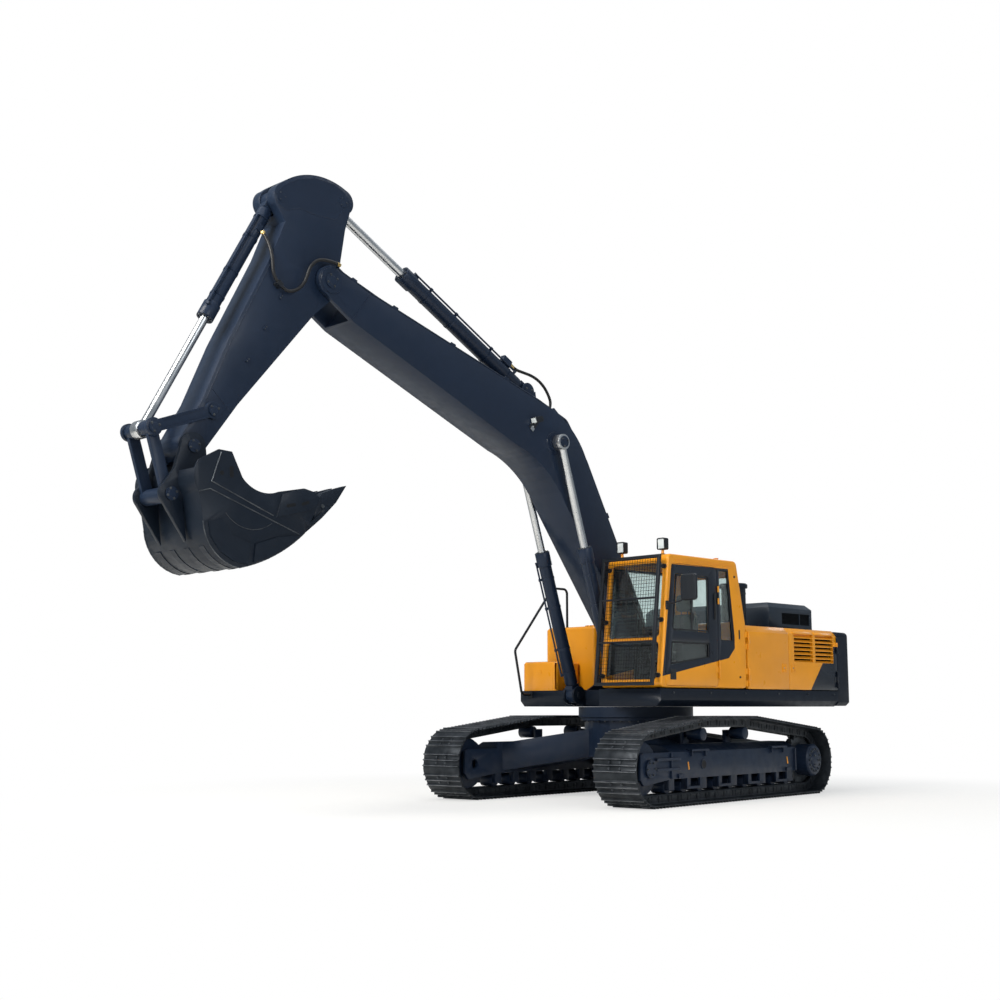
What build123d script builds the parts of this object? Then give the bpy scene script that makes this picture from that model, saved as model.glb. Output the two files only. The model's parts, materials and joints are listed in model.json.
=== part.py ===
from build123d import *
import os
from math import asin, atan2, cos, degrees, hypot, pi, radians, sin, tan

# Crawler excavator, 34-tonne class, millimetres.
# +X is forward for the revolving upper, +Y is its cab side, +Z is up.
# The origin is on the ground under the middle of the swing bearing.

# ---------------------------------------------------------------- undercarriage
tumbler_distance = 4030.0      # idler axle to sprocket axle
track_gauge = 2680.0           # middle of one track to middle of the other
shoe_width = 600.0
pitch_radius = 366.0           # chain pins round the idler and the sprocket
shoe_count = 48
link_inside = 55.0             # running face of the links, inside the pins
plate_inside = 51.0            # shoe plate, outside the pins
plate_thickness = 12.0
grouser_height = 26.0
grouser_foot = 15.0            # half width of a grouser where it leaves the plate
link_gap = 110.0               # between the two link rails
link_thickness = 42.0
carrier_x = (650.0, -390.0)    # carrier rollers, front and rear
carrier_lift = 155.0           # how far they hold the chain above the wheels
carrier_radius = 78.0
lower_roller_count = 9
lower_roller_radius = 80.0
lower_roller_pitch = 372.0
wheel_clearance = 3.0          # between a roller or wheel and the link rails
frame_width = 400.0            # track frame box
frame_bottom = 322.0
frame_shoulder = 640.0
frame_top = 720.0
frame_half_length = 1560.0
frame_wall = 18.0
idler_width = 190.0
sprocket_teeth = 21
sprocket_width = 74.0
hub_radius = 215.0             # final drive housing
parked_swing = 6.0             # degrees the undercarriage is turned under the upper

# ---------------------------------------------------------------- swing bearing
belly_z = 500.0                # ground clearance
drum_radius = 690.0
drum_wall = 40.0
bearing_bottom = 1045.0
bearing_radius = 770.0
bearing_bore = 600.0
bearing_height = 135.0
running_gap = 5.0              # between bodies that turn past each other

# ---------------------------------------------------------------- upper structure
deck_thickness = 25.0
half_width = 1490.0            # overall half width of the upper
skirt_top = 1400.0
skirt_wall = 14.0
deck_front_left = 1300.0       # front edge under the cab
deck_front_right = 700.0       # front edge under the tool box
deck_front_centre = 930.0
counterweight_front = -2660.0
tail_radius = 3330.0
counterweight_bottom = 1195.0
counterweight_top = 2235.0
counterweight_wall = 105.0
panel_wall = 45.0
panel_seam = 8.0               # gap between neighbouring panels
sill_z = 1412.0                # lower edge of the side panels
shoulder_z = 2160.0            # where the side panels fold inwards
cover_z = 2245.0               # top of the machinery deck
shoulder_in = 75.0             # how far the fold comes in
cover_thickness = 12.0
bay_front = -505.0             # machinery bay, behind the cab
bay_split = -1460.0            # seam between the two left doors
hood_front = -1580.0
hood_half_width = 1100.0
hood_height = 375.0
hood_wall = 14.0
hood_corner = 70.0
hood_gap = 7.0                 # closed hood above the machinery deck
hinge_out = 15.0               # hinge line of a door, outside its face
knuckle_radius = 12.0
knuckle_length = 76.0
knuckle_gap = 2.0
leaf_thickness = 4.0

# ---------------------------------------------------------------- cab
cab_inner = 505.0              # cab side nearest the boom
cab_front = 1300.0
cab_rear = -490.0
cab_floor = 1412.0
cab_top = 3070.0
pillar_rake = 190.0            # how far the windscreen leans back
rear_rake = 180.0              # how far the rear leans forward, above the waist
cab_waist = 2240.0
cab_wall = 46.0
roof_radius = 70.0
door_rear = 130.0              # hinge edge of the cab door
door_gap = 7.0
glass_thickness = 8.0

# ---------------------------------------------------------------- boom and arm
boom_foot = (120.0, 1950.0)    # x, z of the boom foot pin
boom_length = 6665.0
boom_angle = 36.2              # foot pin to tip pin, parked
boom_width = 540.0
boom_plate = 16.0
arm_length = 2700.0
arm_angle = -50.9
arm_width = 410.0
arm_plate = 16.0
bucket_width = 1120.0
bucket_radius = 1757.0         # bucket pin to tooth tip
bucket_angle = -171.8          # bucket pin to tooth tip, parked
bucket_plate = 22.0
foot_pin_radius = 52.0
boom_cylinder_foot = (820.0, 1333.0)
boom_cylinder_side = 376.0     # centre of each boom cylinder from the middle
side_play = 8.0                # between a fork and the eye it holds

os.makedirs("parts", exist_ok=True)


# ================================================================ helpers
def side_plane(pin, angle, y=0.0):
    """Side view of a link: x along the link, y to its upper side, from its pin."""
    along = (cos(radians(angle)), 0, sin(radians(angle)))
    return Plane(origin=(pin[0], y, pin[1]), x_dir=along, z_dir=(0, -1, 0))


def on_link(plane, x, y):
    """x, z of a point given in a link's own side view."""
    point = plane.from_local_coords((x, y, 0))
    return (point.X, point.Z)


def span(start, end):
    """Length and angle from one x, z point to another."""
    dx, dz = end[0] - start[0], end[1] - start[1]
    return hypot(dx, dz), degrees(atan2(dz, dx))


def write(solid, label, turned=False):
    """Label a finished piece and write it; undercarriage pieces are turned under the upper."""
    if turned:
        solid = solid.rotate(Axis.Z, parked_swing)
    solid.label = label
    export_step(solid, "parts/" + label + ".step")


def knuckles(x, side, heights, leaf, fixed):
    """Hinge knuckles on an upright hinge line; the fixed ones sit above and below the door's own."""
    face = side * half_width
    line = face + side * hinge_out
    step = knuckle_length + knuckle_gap
    for z in heights:
        for shift in ((-step, step) if fixed else (0.0,)):
            with Locations((x, line, z + shift)):
                Cylinder(knuckle_radius, knuckle_length)
            # leaf, held off the face over the seam, and its pad on the panel
            with Locations((x + leaf / 2, face + side * (1 + leaf_thickness / 2), z + shift)):
                Box(abs(leaf), leaf_thickness, knuckle_length)
            with Locations((x + leaf * 0.75, face + side * leaf_thickness / 2, z + shift)):
                Box(abs(leaf) / 2, leaf_thickness + 2, knuckle_length)


def tube(points, radius, bend):
    """Round tube along straight runs joined by bends, in the open part."""
    with BuildLine() as route:
        FilletPolyline(*points, radius=bend)
    with BuildSketch(Plane(origin=route.line @ 0, z_dir=route.line % 0)) as section:
        Circle(radius)
    sweep(sections=section.sketch, path=route.line)


def hose(points, radius):
    """Free hose along a hand-laid route: straight runs and arcs as large as the runs allow."""
    points = [Vector(*point) for point in points]
    radii = []
    for before, corner, after in zip(points, points[1:], points[2:]):
        half_turn = radians((corner - before).get_angle(after - corner)) / 2
        shorter = min((corner - before).length, (after - corner).length)
        radii.append(0.45 * shorter / tan(half_turn))
    with BuildPart() as made:
        with BuildLine() as route:
            FilletPolyline(*points, radius=radii)
        with BuildSketch(Plane(origin=route.line @ 0, z_dir=route.line % 0)) as section:
            Circle(radius)
        sweep(sections=section.sketch, path=route.line)
    return made.part


# ================================================================ track chain
axle_x = tumbler_distance / 2
axle_z = pitch_radius + plate_inside + plate_thickness + grouser_height
track_y = track_gauge / 2


def chain_run(lift):
    """Straight top runs and arc ends of the chain, `lift` outside the pins."""
    radius = pitch_radius + lift
    roller_z = axle_z + pitch_radius + carrier_lift + lift
    ends = []
    for roller_x, wheel_x in ((carrier_x[0], axle_x), (-carrier_x[1], axle_x)):
        reach = wheel_x - roller_x
        drop = roller_z - axle_z
        slope = atan2(drop, reach) - asin(radius / hypot(reach, drop))
        ends.append((wheel_x + radius * sin(slope), axle_z + radius * cos(slope), slope))
    return radius, roller_z, ends


def chain_wire(lift):
    """Closed outline of the chain, drawn in the current line builder."""
    radius, roller_z, ((front_x, front_z, _), (rear_x, rear_z, _)) = chain_run(lift)
    Line((-axle_x, axle_z - radius), (axle_x, axle_z - radius))
    ThreePointArc((axle_x, axle_z - radius), (axle_x + radius, axle_z), (front_x, front_z))
    Line((front_x, front_z), (carrier_x[0], roller_z))
    Line((carrier_x[0], roller_z), (carrier_x[1], roller_z))
    Line((carrier_x[1], roller_z), (-rear_x, rear_z))
    ThreePointArc((-rear_x, rear_z), (-axle_x - radius, axle_z), (-axle_x, axle_z - radius))


def chain_stations():
    """Middle and direction of each shoe, at the pins, from a walk round the chain."""
    radius, roller_z, ((front_x, front_z, front_slope), (rear_x, rear_z, rear_slope)) = chain_run(0.0)
    runs = [
        # length, start point, heading at the start, turning radius (0 is straight)
        (tumbler_distance, (-axle_x, axle_z - radius), 0.0, 0.0),
        (radius * (pi - front_slope), (axle_x, axle_z - radius), 0.0, radius),
        (hypot(front_x - carrier_x[0], roller_z - front_z), (front_x, front_z), pi - front_slope, 0.0),
        (carrier_x[0] - carrier_x[1], (carrier_x[0], roller_z), pi, 0.0),
        (hypot(rear_x + carrier_x[1], roller_z - rear_z), (carrier_x[1], roller_z), pi + rear_slope, 0.0),
        (radius * (pi - rear_slope), (-rear_x, rear_z), pi + rear_slope, radius),
    ]
    pitch = sum(run[0] for run in runs) / shoe_count
    stations = []
    for index in range(shoe_count):
        along = (index + 0.5) * pitch
        for length, (x, z), heading, turn in runs:
            if along <= length:
                break
            along -= length
        if turn:
            swept = along / turn
            x += turn * (sin(heading + swept) - sin(heading))
            z -= turn * (cos(heading + swept) - cos(heading))
            heading += swept
        else:
            x += along * cos(heading)
            z += along * sin(heading)
        stations.append((x, z, heading))
    return pitch, stations


shoe_pitch, shoe_stations = chain_stations()
plate_outside = plate_inside + plate_thickness


def shoe_profile():
    """One shoe's outer outline: along the chain, and out from the pins."""
    points = [(-shoe_pitch / 2 + 3, plate_outside)]
    for middle in (-shoe_pitch / 3, 0.0, shoe_pitch / 3):
        points.append((middle - grouser_foot, plate_outside))
        points.append((middle, plate_outside + grouser_height))
        points.append((middle + grouser_foot, plate_outside))
    points.append((shoe_pitch / 2 - 3, plate_outside))
    return points


def track_outline():
    """All shoes' outlines, one after the other round the chain."""
    outline = []
    for x, z, heading in shoe_stations:
        for along, out in shoe_profile():
            outline.append(
                (
                    x + along * cos(heading) + out * sin(heading),
                    z + along * sin(heading) - out * cos(heading),
                )
            )
    return outline


# the drawing plane looks along +Y, so that its x is X and its y is Z
def upright(y):
    """Side view plane at a given y, drawing x and z, extruding towards -Y."""
    return Plane(origin=(0, y, 0), x_dir=(1, 0, 0), z_dir=(0, -1, 0))


for side, name in ((1, "track_left"), (-1, "track_right")):
    middle = side * track_y
    with BuildPart() as track:
        with BuildSketch(upright(middle)):
            with BuildLine():
                Polyline(*track_outline(), close=True)
            make_face()
            with BuildLine():
                chain_wire(plate_inside)
            make_face(mode=Mode.SUBTRACT)
        extrude(amount=shoe_width / 2, both=True)
        for rail in (-1, 1):
            with BuildSketch(upright(middle + rail * (link_gap + link_thickness) / 2)):
                with BuildLine():
                    chain_wire(plate_inside + 1.0)
                make_face()
                with BuildLine():
                    chain_wire(-link_inside)
                make_face(mode=Mode.SUBTRACT)
            extrude(amount=link_thickness / 2, both=True)
    write(track.part, name, turned=True)


# ================================================================ wheels and rollers
def lathe_plane(x, y, z):
    """Half-section plane of a wheel: x outwards along the axle (+Y), y along the radius."""
    return Plane(origin=(x, y, z), x_dir=(0, 1, 0), z_dir=(1, 0, 0))


def turn(x, y, z, profile):
    """Revolve a half section, given as (along the axle, radius) points, in the open part."""
    with BuildSketch(lathe_plane(x, y, z)) as half_section:
        with BuildLine():
            Polyline(*profile, close=True)
        make_face()
    revolve(profiles=half_section.sketch, axis=Axis((x, y, z), (0, 1, 0)))


rail_outer = link_gap / 2 + link_thickness
running_face = pitch_radius - link_inside - wheel_clearance
flange_half = link_gap / 2 - wheel_clearance

rim = running_face + 22.0      # top of the idler's middle flange
with BuildPart() as front_idlers:
    for side in (1, -1):
        turn(axle_x, side * track_y, axle_z, [
            (-idler_width / 2, 0), (-idler_width / 2, running_face), (-flange_half, running_face),
            (-flange_half, rim), (flange_half, rim), (flange_half, running_face),
            (idler_width / 2, running_face), (idler_width / 2, 0),
        ])
write(front_idlers.part, "front_idlers", turned=True)

sprocket_root = pitch_radius - 48.0
tooth_height = 44.0
tooth_foot = 30.0              # half width of a sprocket tooth at its root, and at its crest
tooth_crest = 10.0
mount_ring = 290.0             # plate that carries the final drive
mount_offset = 60.0            # its face, inboard of the middle of the track
mount_thickness = 40.0
hub_reach = shoe_width / 2 - 18.0

with BuildPart() as drive_sprockets:
    for side in (1, -1):
        with BuildSketch(upright(side * track_y)):
            with Locations((-axle_x, axle_z)):
                Circle(sprocket_root)
                with PolarLocations(sprocket_root, sprocket_teeth):
                    Polygon((-12, -tooth_foot), (-12, tooth_foot), (tooth_height, tooth_crest),
                            (tooth_height, -tooth_crest), align=None)
                Circle(hub_radius + 1, mode=Mode.SUBTRACT)
        extrude(amount=sprocket_width / 2, both=True)
write(drive_sprockets.part, "drive_sprockets", turned=True)

with BuildPart() as final_drives:
    half = sprocket_width / 2
    for side in (1, -1):
        profile = [
            (-mount_offset, 0), (-mount_offset, 262), (-half, 262), (-half, hub_radius),
            (hub_reach - 40, hub_radius), (hub_reach - 18, hub_radius - 20),
            (hub_reach - 18, 110), (hub_reach, 100), (hub_reach, 0),
        ]
        turn(-axle_x, side * track_y, axle_z, [(side * along, r) for along, r in profile])
write(final_drives.part, "final_drives", turned=True)

lower_z = axle_z - pitch_radius + link_inside + wheel_clearance + lower_roller_radius
with BuildPart() as lower_rollers:
    for side in (1, -1):
        for index in range(lower_roller_count):
            x = (index - (lower_roller_count - 1) / 2) * lower_roller_pitch
            turn(x, side * track_y, lower_z, [
                (-rail_outer, 0), (-rail_outer, lower_roller_radius),
                (rail_outer, lower_roller_radius), (rail_outer, 0),
            ])
write(lower_rollers.part, "lower_rollers", turned=True)

carrier_z = axle_z + pitch_radius + carrier_lift - link_inside - wheel_clearance - carrier_radius
bracket_y = 150.0              # roller brackets, from the middle of the track
with BuildPart() as carrier_rollers:
    for side in (1, -1):
        for x in carrier_x:
            turn(x, side * track_y, carrier_z, [
                (-side * bracket_y, 0), (-side * bracket_y, 38), (-side * rail_outer, 38),
                (-side * rail_outer, carrier_radius), (side * (rail_outer + 14), carrier_radius),
                (side * (rail_outer + 14), 0),
            ])
write(carrier_rollers.part, "carrier_rollers", turned=True)


# ================================================================ track frames
fork_reach = axle_x + 190.0
fork_thickness = 42.0
hanger_width = 62.0            # blocks that hold the lower rollers' shafts
hanger_drop = 40.0             # how far they reach below the shafts
for side, name in ((1, "track_frame_left"), (-1, "track_frame_right")):
    middle = side * track_y
    half = frame_width / 2
    with BuildPart() as track_frame:
        # the long box, with a sloping outer shoulder that sheds mud
        section = Plane(origin=(0, middle, 0), x_dir=(0, side, 0), z_dir=(side, 0, 0))
        with BuildSketch(section):
            Polygon((-half, frame_bottom), (half, frame_bottom), (half, frame_shoulder),
                    (half * 0.25, frame_top), (-half, frame_top), align=None)
        extrude(amount=frame_half_length, both=True)
        with BuildSketch(section):
            Polygon((-half, frame_bottom), (half, frame_bottom), (half, frame_shoulder),
                    (half * 0.25, frame_top), (-half, frame_top), align=None)
            offset(amount=-frame_wall, kind=Kind.INTERSECTION, mode=Mode.REPLACE)
        extrude(amount=frame_half_length - frame_wall, both=True, mode=Mode.SUBTRACT)
        # fork round the idler
        for cheek in (-1, 1):
            with BuildSketch(upright(middle + cheek * (half - fork_thickness / 2))):
                Polygon((frame_half_length - 1, frame_bottom), (fork_reach - 70, frame_bottom - 60),
                        (fork_reach, frame_bottom + 10), (fork_reach, frame_shoulder - 20),
                        (fork_reach - 60, frame_shoulder), (frame_half_length - 1, frame_shoulder),
                        align=None)
                with Locations((axle_x, axle_z)):
                    Circle(60, mode=Mode.SUBTRACT)
            extrude(amount=fork_thickness / 2, both=True)
        # plate that carries the final drive
        plate_y = middle - side * (mount_offset + mount_thickness / 2)
        with BuildSketch(upright(plate_y)):
            with Locations((-axle_x, axle_z)):
                Circle(mount_ring)
            Polygon((-axle_x, axle_z - 230), (-frame_half_length + 1, frame_bottom),
                    (-frame_half_length + 1, frame_shoulder), (-axle_x, axle_z + 230), align=None)
        extrude(amount=mount_thickness / 2, both=True)
        # hangers for the lower rollers and pedestals for the carrier rollers
        for index in range(lower_roller_count):
            x = (index - (lower_roller_count - 1) / 2) * lower_roller_pitch
            for cheek in (-1, 1):
                hanger_y = middle + cheek * (rail_outer + 1 + hanger_width / 2)
                with Locations((x, hanger_y, lower_z - hanger_drop)):
                    Box(120, hanger_width, frame_bottom - lower_z + hanger_drop + 2,
                        align=(Align.CENTER, Align.CENTER, Align.MIN))
        for x in carrier_x:
            with Locations((x, middle - side * (bracket_y + 24), (frame_top + carrier_z) / 2 + 20)):
                Box(130, 48, carrier_z - frame_top + 42)
    write(track_frame.part, name, turned=True)


# ================================================================ car body
drum_bottom = belly_z + 20.0
drum_top = bearing_bottom
leg_root = (150.0, 560.0, drum_bottom + 10, 890.0)     # x from, x to, z from, z to at the drum
leg_tip = (700.0, 1450.0, frame_bottom + 30, frame_top - 10)   # where it meets the track frame
leg_start = 330.0              # the legs begin this far out, inside the drum wall
frame_face = track_y - frame_width / 2


def leg_section(y, x_from, x_to, z_from, z_to):
    """Upright rectangle of a leg, at a distance y from the middle."""
    with BuildSketch(upright(y)) as section:
        with Locations(((x_from + x_to) / 2, (z_from + z_to) / 2)):
            Rectangle(x_to - x_from, z_to - z_from)
    return section.sketch


def leg():
    """One leg from inside the drum to the track frame."""
    with BuildPart() as one_leg:
        loft(sections=[leg_section(leg_start, *leg_root), leg_section(frame_face, *leg_tip)], ruled=True)
    return one_leg.part


def four_ways(shape):
    """Place a leg at all four corners, in the open part."""
    for x_side in (1, -1):
        for y_side in (1, -1):
            placed = shape
            if x_side < 0:
                placed = placed.mirror(Plane.YZ)
            if y_side < 0:
                placed = placed.mirror(Plane.XZ)
            add(placed)


with BuildPart() as car_body:
    with BuildSketch(Plane.XY.offset(drum_bottom)):
        Circle(drum_radius)
    extrude(amount=drum_top - drum_bottom)
    four_ways(leg())
    with BuildSketch(Plane.XY.offset(drum_bottom + 30)):
        Circle(drum_radius - drum_wall)
    extrude(amount=drum_top - drum_bottom, mode=Mode.SUBTRACT)
    with BuildSketch(Plane.XY.offset(drum_top - 45)):
        Circle(bearing_radius - 25)
        Circle(bearing_bore, mode=Mode.SUBTRACT)
    extrude(amount=45)
write(car_body.part, "car_body", turned=True)

with BuildPart() as swing_bearing:
    with BuildSketch(Plane.XY.offset(bearing_bottom)):
        Circle(bearing_radius)
        Circle(bearing_bore, mode=Mode.SUBTRACT)
    extrude(amount=bearing_height)
write(swing_bearing.part, "swing_bearing", turned=True)


# ================================================================ revolving frame
frame_z = bearing_bottom + bearing_height + running_gap
skirt_chamfer = 75.0
web_inner = boom_width / 2 + side_play
web_thickness = 28.0
eye_half = 60.0                # half width of a cylinder's foot eye
lug_thickness = 36.0
lug_inner = boom_cylinder_side + eye_half + side_play
foot_boss = 150.0
lug_radius = 118.0
cylinder_pin_radius = 45.0
deck_step = 490.0              # side of the cab's part of the deck
platform_rear = 195.0
platform_inner = 560.0
platform_thickness = 12.0
cab_post_radius = 55.0

with BuildPart() as revolving_frame:
    # shallow tray with skirts, open at the top
    with BuildSketch(Plane.XY.offset(frame_z)) as deck_outline:
        Polygon((counterweight_front, half_width), (deck_front_left, half_width),
                (deck_front_left, deck_step), (deck_front_right, deck_step),
                (deck_front_right, -half_width), (counterweight_front, -half_width), align=None)
    extrude(amount=skirt_top - frame_z)
    chamfer(
        revolving_frame.edges().filter_by(Axis.X).group_by(Axis.Z)[0].filter_by(
            lambda edge: abs(edge.center().Y) > half_width - 1
        ),
        length=skirt_chamfer,
    )
    for tray_z, inset in ((frame_z + deck_thickness, skirt_chamfer), (frame_z + skirt_chamfer, skirt_wall)):
        with BuildSketch(Plane.XY.offset(tray_z)):
            add(deck_outline.sketch)
            offset(amount=-inset, kind=Kind.INTERSECTION, mode=Mode.REPLACE)
        extrude(amount=skirt_top - frame_z, mode=Mode.SUBTRACT)
    # platform under the tool box, and the posts that carry the cab
    with Locations(((deck_front_right + platform_rear) / 2, -(half_width + platform_inner) / 2,
                    skirt_top - platform_thickness / 2)):
        Box(deck_front_right - platform_rear, half_width - platform_inner, platform_thickness)
    for x in (deck_front_left - 190, cab_rear + 130):
        for y in (cab_inner + 120, half_width - 140):
            with Locations((x, y, frame_z + 5)):
                Cylinder(cab_post_radius, cab_floor - frame_z - 5,
                         align=(Align.CENTER, Align.CENTER, Align.MIN))
    # two main webs, with the boom foot and the inner lugs of the boom cylinders
    for side in (1, -1):
        with BuildSketch(upright(side * (web_inner + web_thickness / 2))):
            Polygon(
                (counterweight_front, frame_z), (counterweight_front, 1500), (-900, 1560),
                (-330, 2010), (boom_foot[0], boom_foot[1] + 120), (boom_foot[0] + 145, boom_foot[1] - 60),
                (boom_foot[0] + 300, boom_foot[1] - 430),
                (boom_cylinder_foot[0] - 110, boom_cylinder_foot[1] + 40),
                (boom_cylinder_foot[0], boom_cylinder_foot[1] - 100), (deck_front_right, frame_z),
                align=None,
            )
            with Locations(boom_foot):
                Circle(foot_boss)
            with Locations(boom_cylinder_foot):
                Circle(lug_radius)
        extrude(amount=web_thickness / 2, both=True)
        with BuildSketch(upright(side * (lug_inner + lug_thickness / 2))):
            Polygon((deck_front_right - 260, frame_z), (deck_front_right - 260, skirt_top),
                    (boom_cylinder_foot[0], boom_cylinder_foot[1] + 100),
                    (boom_cylinder_foot[0], boom_cylinder_foot[1] - 100), (deck_front_right, frame_z),
                    align=None)
            with Locations(boom_cylinder_foot):
                Circle(lug_radius)
        extrude(amount=lug_thickness / 2, both=True)
    # pins, one for the boom foot and one in each pair of cylinder lugs
    with BuildSketch(Plane.XZ):
        with Locations(boom_foot):
            Circle(foot_pin_radius)
    extrude(amount=web_inner + web_thickness + 20, both=True)
    for side in (1, -1):
        with BuildSketch(upright(side * boom_cylinder_side)):
            with Locations(boom_cylinder_foot):
                Circle(cylinder_pin_radius)
        extrude(amount=eye_half + side_play + lug_thickness + 8, both=True)
write(revolving_frame.part, "revolving_frame")


# ================================================================ counterweight
tail_corner = (tail_radius ** 2 - half_width ** 2) ** 0.5
rear_hinge_x = counterweight_front + 20.0
front_hinge_x = bay_front - 15.0
door_hinges = (1560.0, 2040.0)
hinge_leaf = 60.0
lift_eye_x = -2860.0
lift_eye_y = 700.0
lift_eye_radius = 32.0
lift_eye_rise = 55.0            # eye centre above the counterweight


def counterweight_plan(inset):
    """Plan outline: flat front and sides, tail on the swing radius."""
    y = half_width - inset
    x = -(((tail_radius - inset) ** 2 - y ** 2) ** 0.5)
    with BuildSketch(Plane.XY.offset(counterweight_bottom + inset)) as plan:
        with BuildLine():
            Polyline((x, y), (counterweight_front - inset, y), (counterweight_front - inset, -y), (x, -y))
            ThreePointArc((x, -y), (-tail_radius + inset, 0), (x, y))
        make_face()
    return plan.sketch


with BuildPart() as counterweight:
    extrude(counterweight_plan(0.0), amount=counterweight_top - counterweight_bottom)
    fillet(counterweight.edges().filter_by(Axis.Z).group_by(Axis.X)[0], radius=110)
    fillet(counterweight.faces().sort_by(Axis.Z)[-1].edges().group_by(Axis.X)[0], radius=60)
    chamfer(counterweight.faces().sort_by(Axis.Z)[0].edges().group_by(Axis.X)[0], length=50)
    extrude(
        counterweight_plan(counterweight_wall),
        amount=counterweight_top - counterweight_bottom - 2 * counterweight_wall,
        mode=Mode.SUBTRACT,
    )
    for side in (1, -1):
        with BuildSketch(upright(side * lift_eye_y)):
            with Locations((lift_eye_x, counterweight_top + lift_eye_rise)):
                SlotCenterToCenter(90, 130)
                Circle(lift_eye_radius, mode=Mode.SUBTRACT)
        extrude(amount=20, both=True)
    for side in (1, -1):
        knuckles(rear_hinge_x, side, door_hinges, -hinge_leaf, fixed=True)
write(counterweight.part, "counterweight")


# ================================================================ machinery house
panel_inner = half_width - panel_wall
cover_edge = half_width - shoulder_in
bay_rear = counterweight_front + 10.0

hood_hinge_x = hood_front + 15.0
hood_hinge_z = cover_z + 20.0
hood_hinges = (-700.0, 700.0)

with BuildPart() as machinery_deck:
    # top plate with the hood opening
    with BuildSketch(Plane.XY.offset(cover_z - cover_thickness)):
        Polygon((bay_rear, cover_edge - 52), (bay_front, cover_edge - 52),
                (bay_front, -cover_edge + 52), (bay_rear, -cover_edge + 52), align=None)
        Polygon((bay_rear + 60, hood_half_width - 60), (hood_front - 60, hood_half_width - 60),
                (hood_front - 60, -hood_half_width + 60), (bay_rear + 60, -hood_half_width + 60),
                align=None, mode=Mode.SUBTRACT)
    extrude(amount=cover_thickness)
    # bulkheads and posts under it
    deck_z = frame_z + deck_thickness
    for x, y_from, y_to, z_from in (
        (bay_front - 15, web_inner + web_thickness + 10, cover_edge - 52, deck_z),
        (bay_split, 1200, cover_edge - 52, deck_z),
        (bay_rear + 15, 1200, cover_edge - 52, skirt_top),
        (bay_rear + 15, -cover_edge + 52, -1200, skirt_top),
    ):
        with Locations((x, (y_from + y_to) / 2, (z_from + cover_z - cover_thickness) / 2)):
            Box(30, y_to - y_from, cover_z - cover_thickness - z_from)
    # fixed knuckles of the hood hinge, each with its foot on the plate
    for y in hood_hinges:
        for shift in (-knuckle_length - knuckle_gap, knuckle_length + knuckle_gap):
            with Locations(Location((hood_hinge_x, y + shift, hood_hinge_z), (90, 0, 0))):
                Cylinder(knuckle_radius, knuckle_length)
            with Locations((hood_hinge_x + 25, y + shift, cover_z + 5)):
                Box(50 + knuckle_radius, knuckle_length, 12)
write(machinery_deck.part, "machinery_deck")


def panel_section(side):
    """Section of a side panel: upright wall with the shoulder folded inwards at its top."""
    plane = Plane(origin=(0, 0, 0), x_dir=(0, side, 0), z_dir=(side, 0, 0))
    with BuildSketch(plane) as section:
        Polygon((half_width, sill_z), (half_width, shoulder_z), (cover_edge, cover_z),
                (cover_edge - 32, cover_z - 32), (panel_inner, shoulder_z - 20), (panel_inner, sill_z),
                align=None)
    return section.sketch


def side_panel(side, x_front, x_rear):
    """Panel between two x positions, in the open part."""
    section = panel_section(side)
    section = section.moved(Location((x_rear if side > 0 else x_front, 0, 0)))
    extrude(section, amount=x_front - x_rear)


with BuildPart() as left_front_door:
    side_panel(1, bay_front - panel_seam, bay_split + panel_seam / 2)
    knuckles(front_hinge_x, 1, door_hinges, -hinge_leaf, fixed=False)
write(left_front_door.part, "left_front_door")

louvre_rows = 7
louvre_pitch = 56.0
louvre_columns = ((-1590.0, -2050.0), (-2110.0, -2560.0))
louvre_bottom = 1790.0
louvre_blade = 10.0


def louvres(side):
    """Two columns of sloping blades across an opening in the open panel."""
    tall = louvre_rows * louvre_pitch
    for x_front, x_rear in louvre_columns:
        middle = (x_front + x_rear) / 2
        with Locations((middle, side * (half_width - panel_wall / 2), louvre_bottom + tall / 2)):
            Box(x_front - x_rear, panel_wall + 2, tall, mode=Mode.SUBTRACT)
        for row in range(louvre_rows + 1):
            z = louvre_bottom + row * louvre_pitch
            with BuildSketch(Plane(origin=(x_rear - 2, 0, 0), x_dir=(0, 1, 0), z_dir=(1, 0, 0))) as blade:
                y_out, y_in = side * half_width, side * (half_width - 36)
                Polygon((y_out, z - 14), (y_out, z - 14 + louvre_blade), (y_in, z + 14 + louvre_blade),
                        (y_in, z + 14), align=None)
            extrude(blade.sketch, amount=x_front - x_rear + 4)


with BuildPart() as left_rear_door:
    side_panel(1, bay_split - panel_seam / 2, bay_rear)
    louvres(1)
    knuckles(rear_hinge_x, 1, door_hinges, hinge_leaf, fixed=False)
write(left_rear_door.part, "left_rear_door")

pump_front = -1380.0
with BuildPart() as right_pump_door:
    side_panel(-1, pump_front, bay_rear)
    louvres(-1)
    knuckles(rear_hinge_x, -1, door_hinges, hinge_leaf, fixed=False)
write(right_pump_door.part, "right_pump_door")

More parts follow.
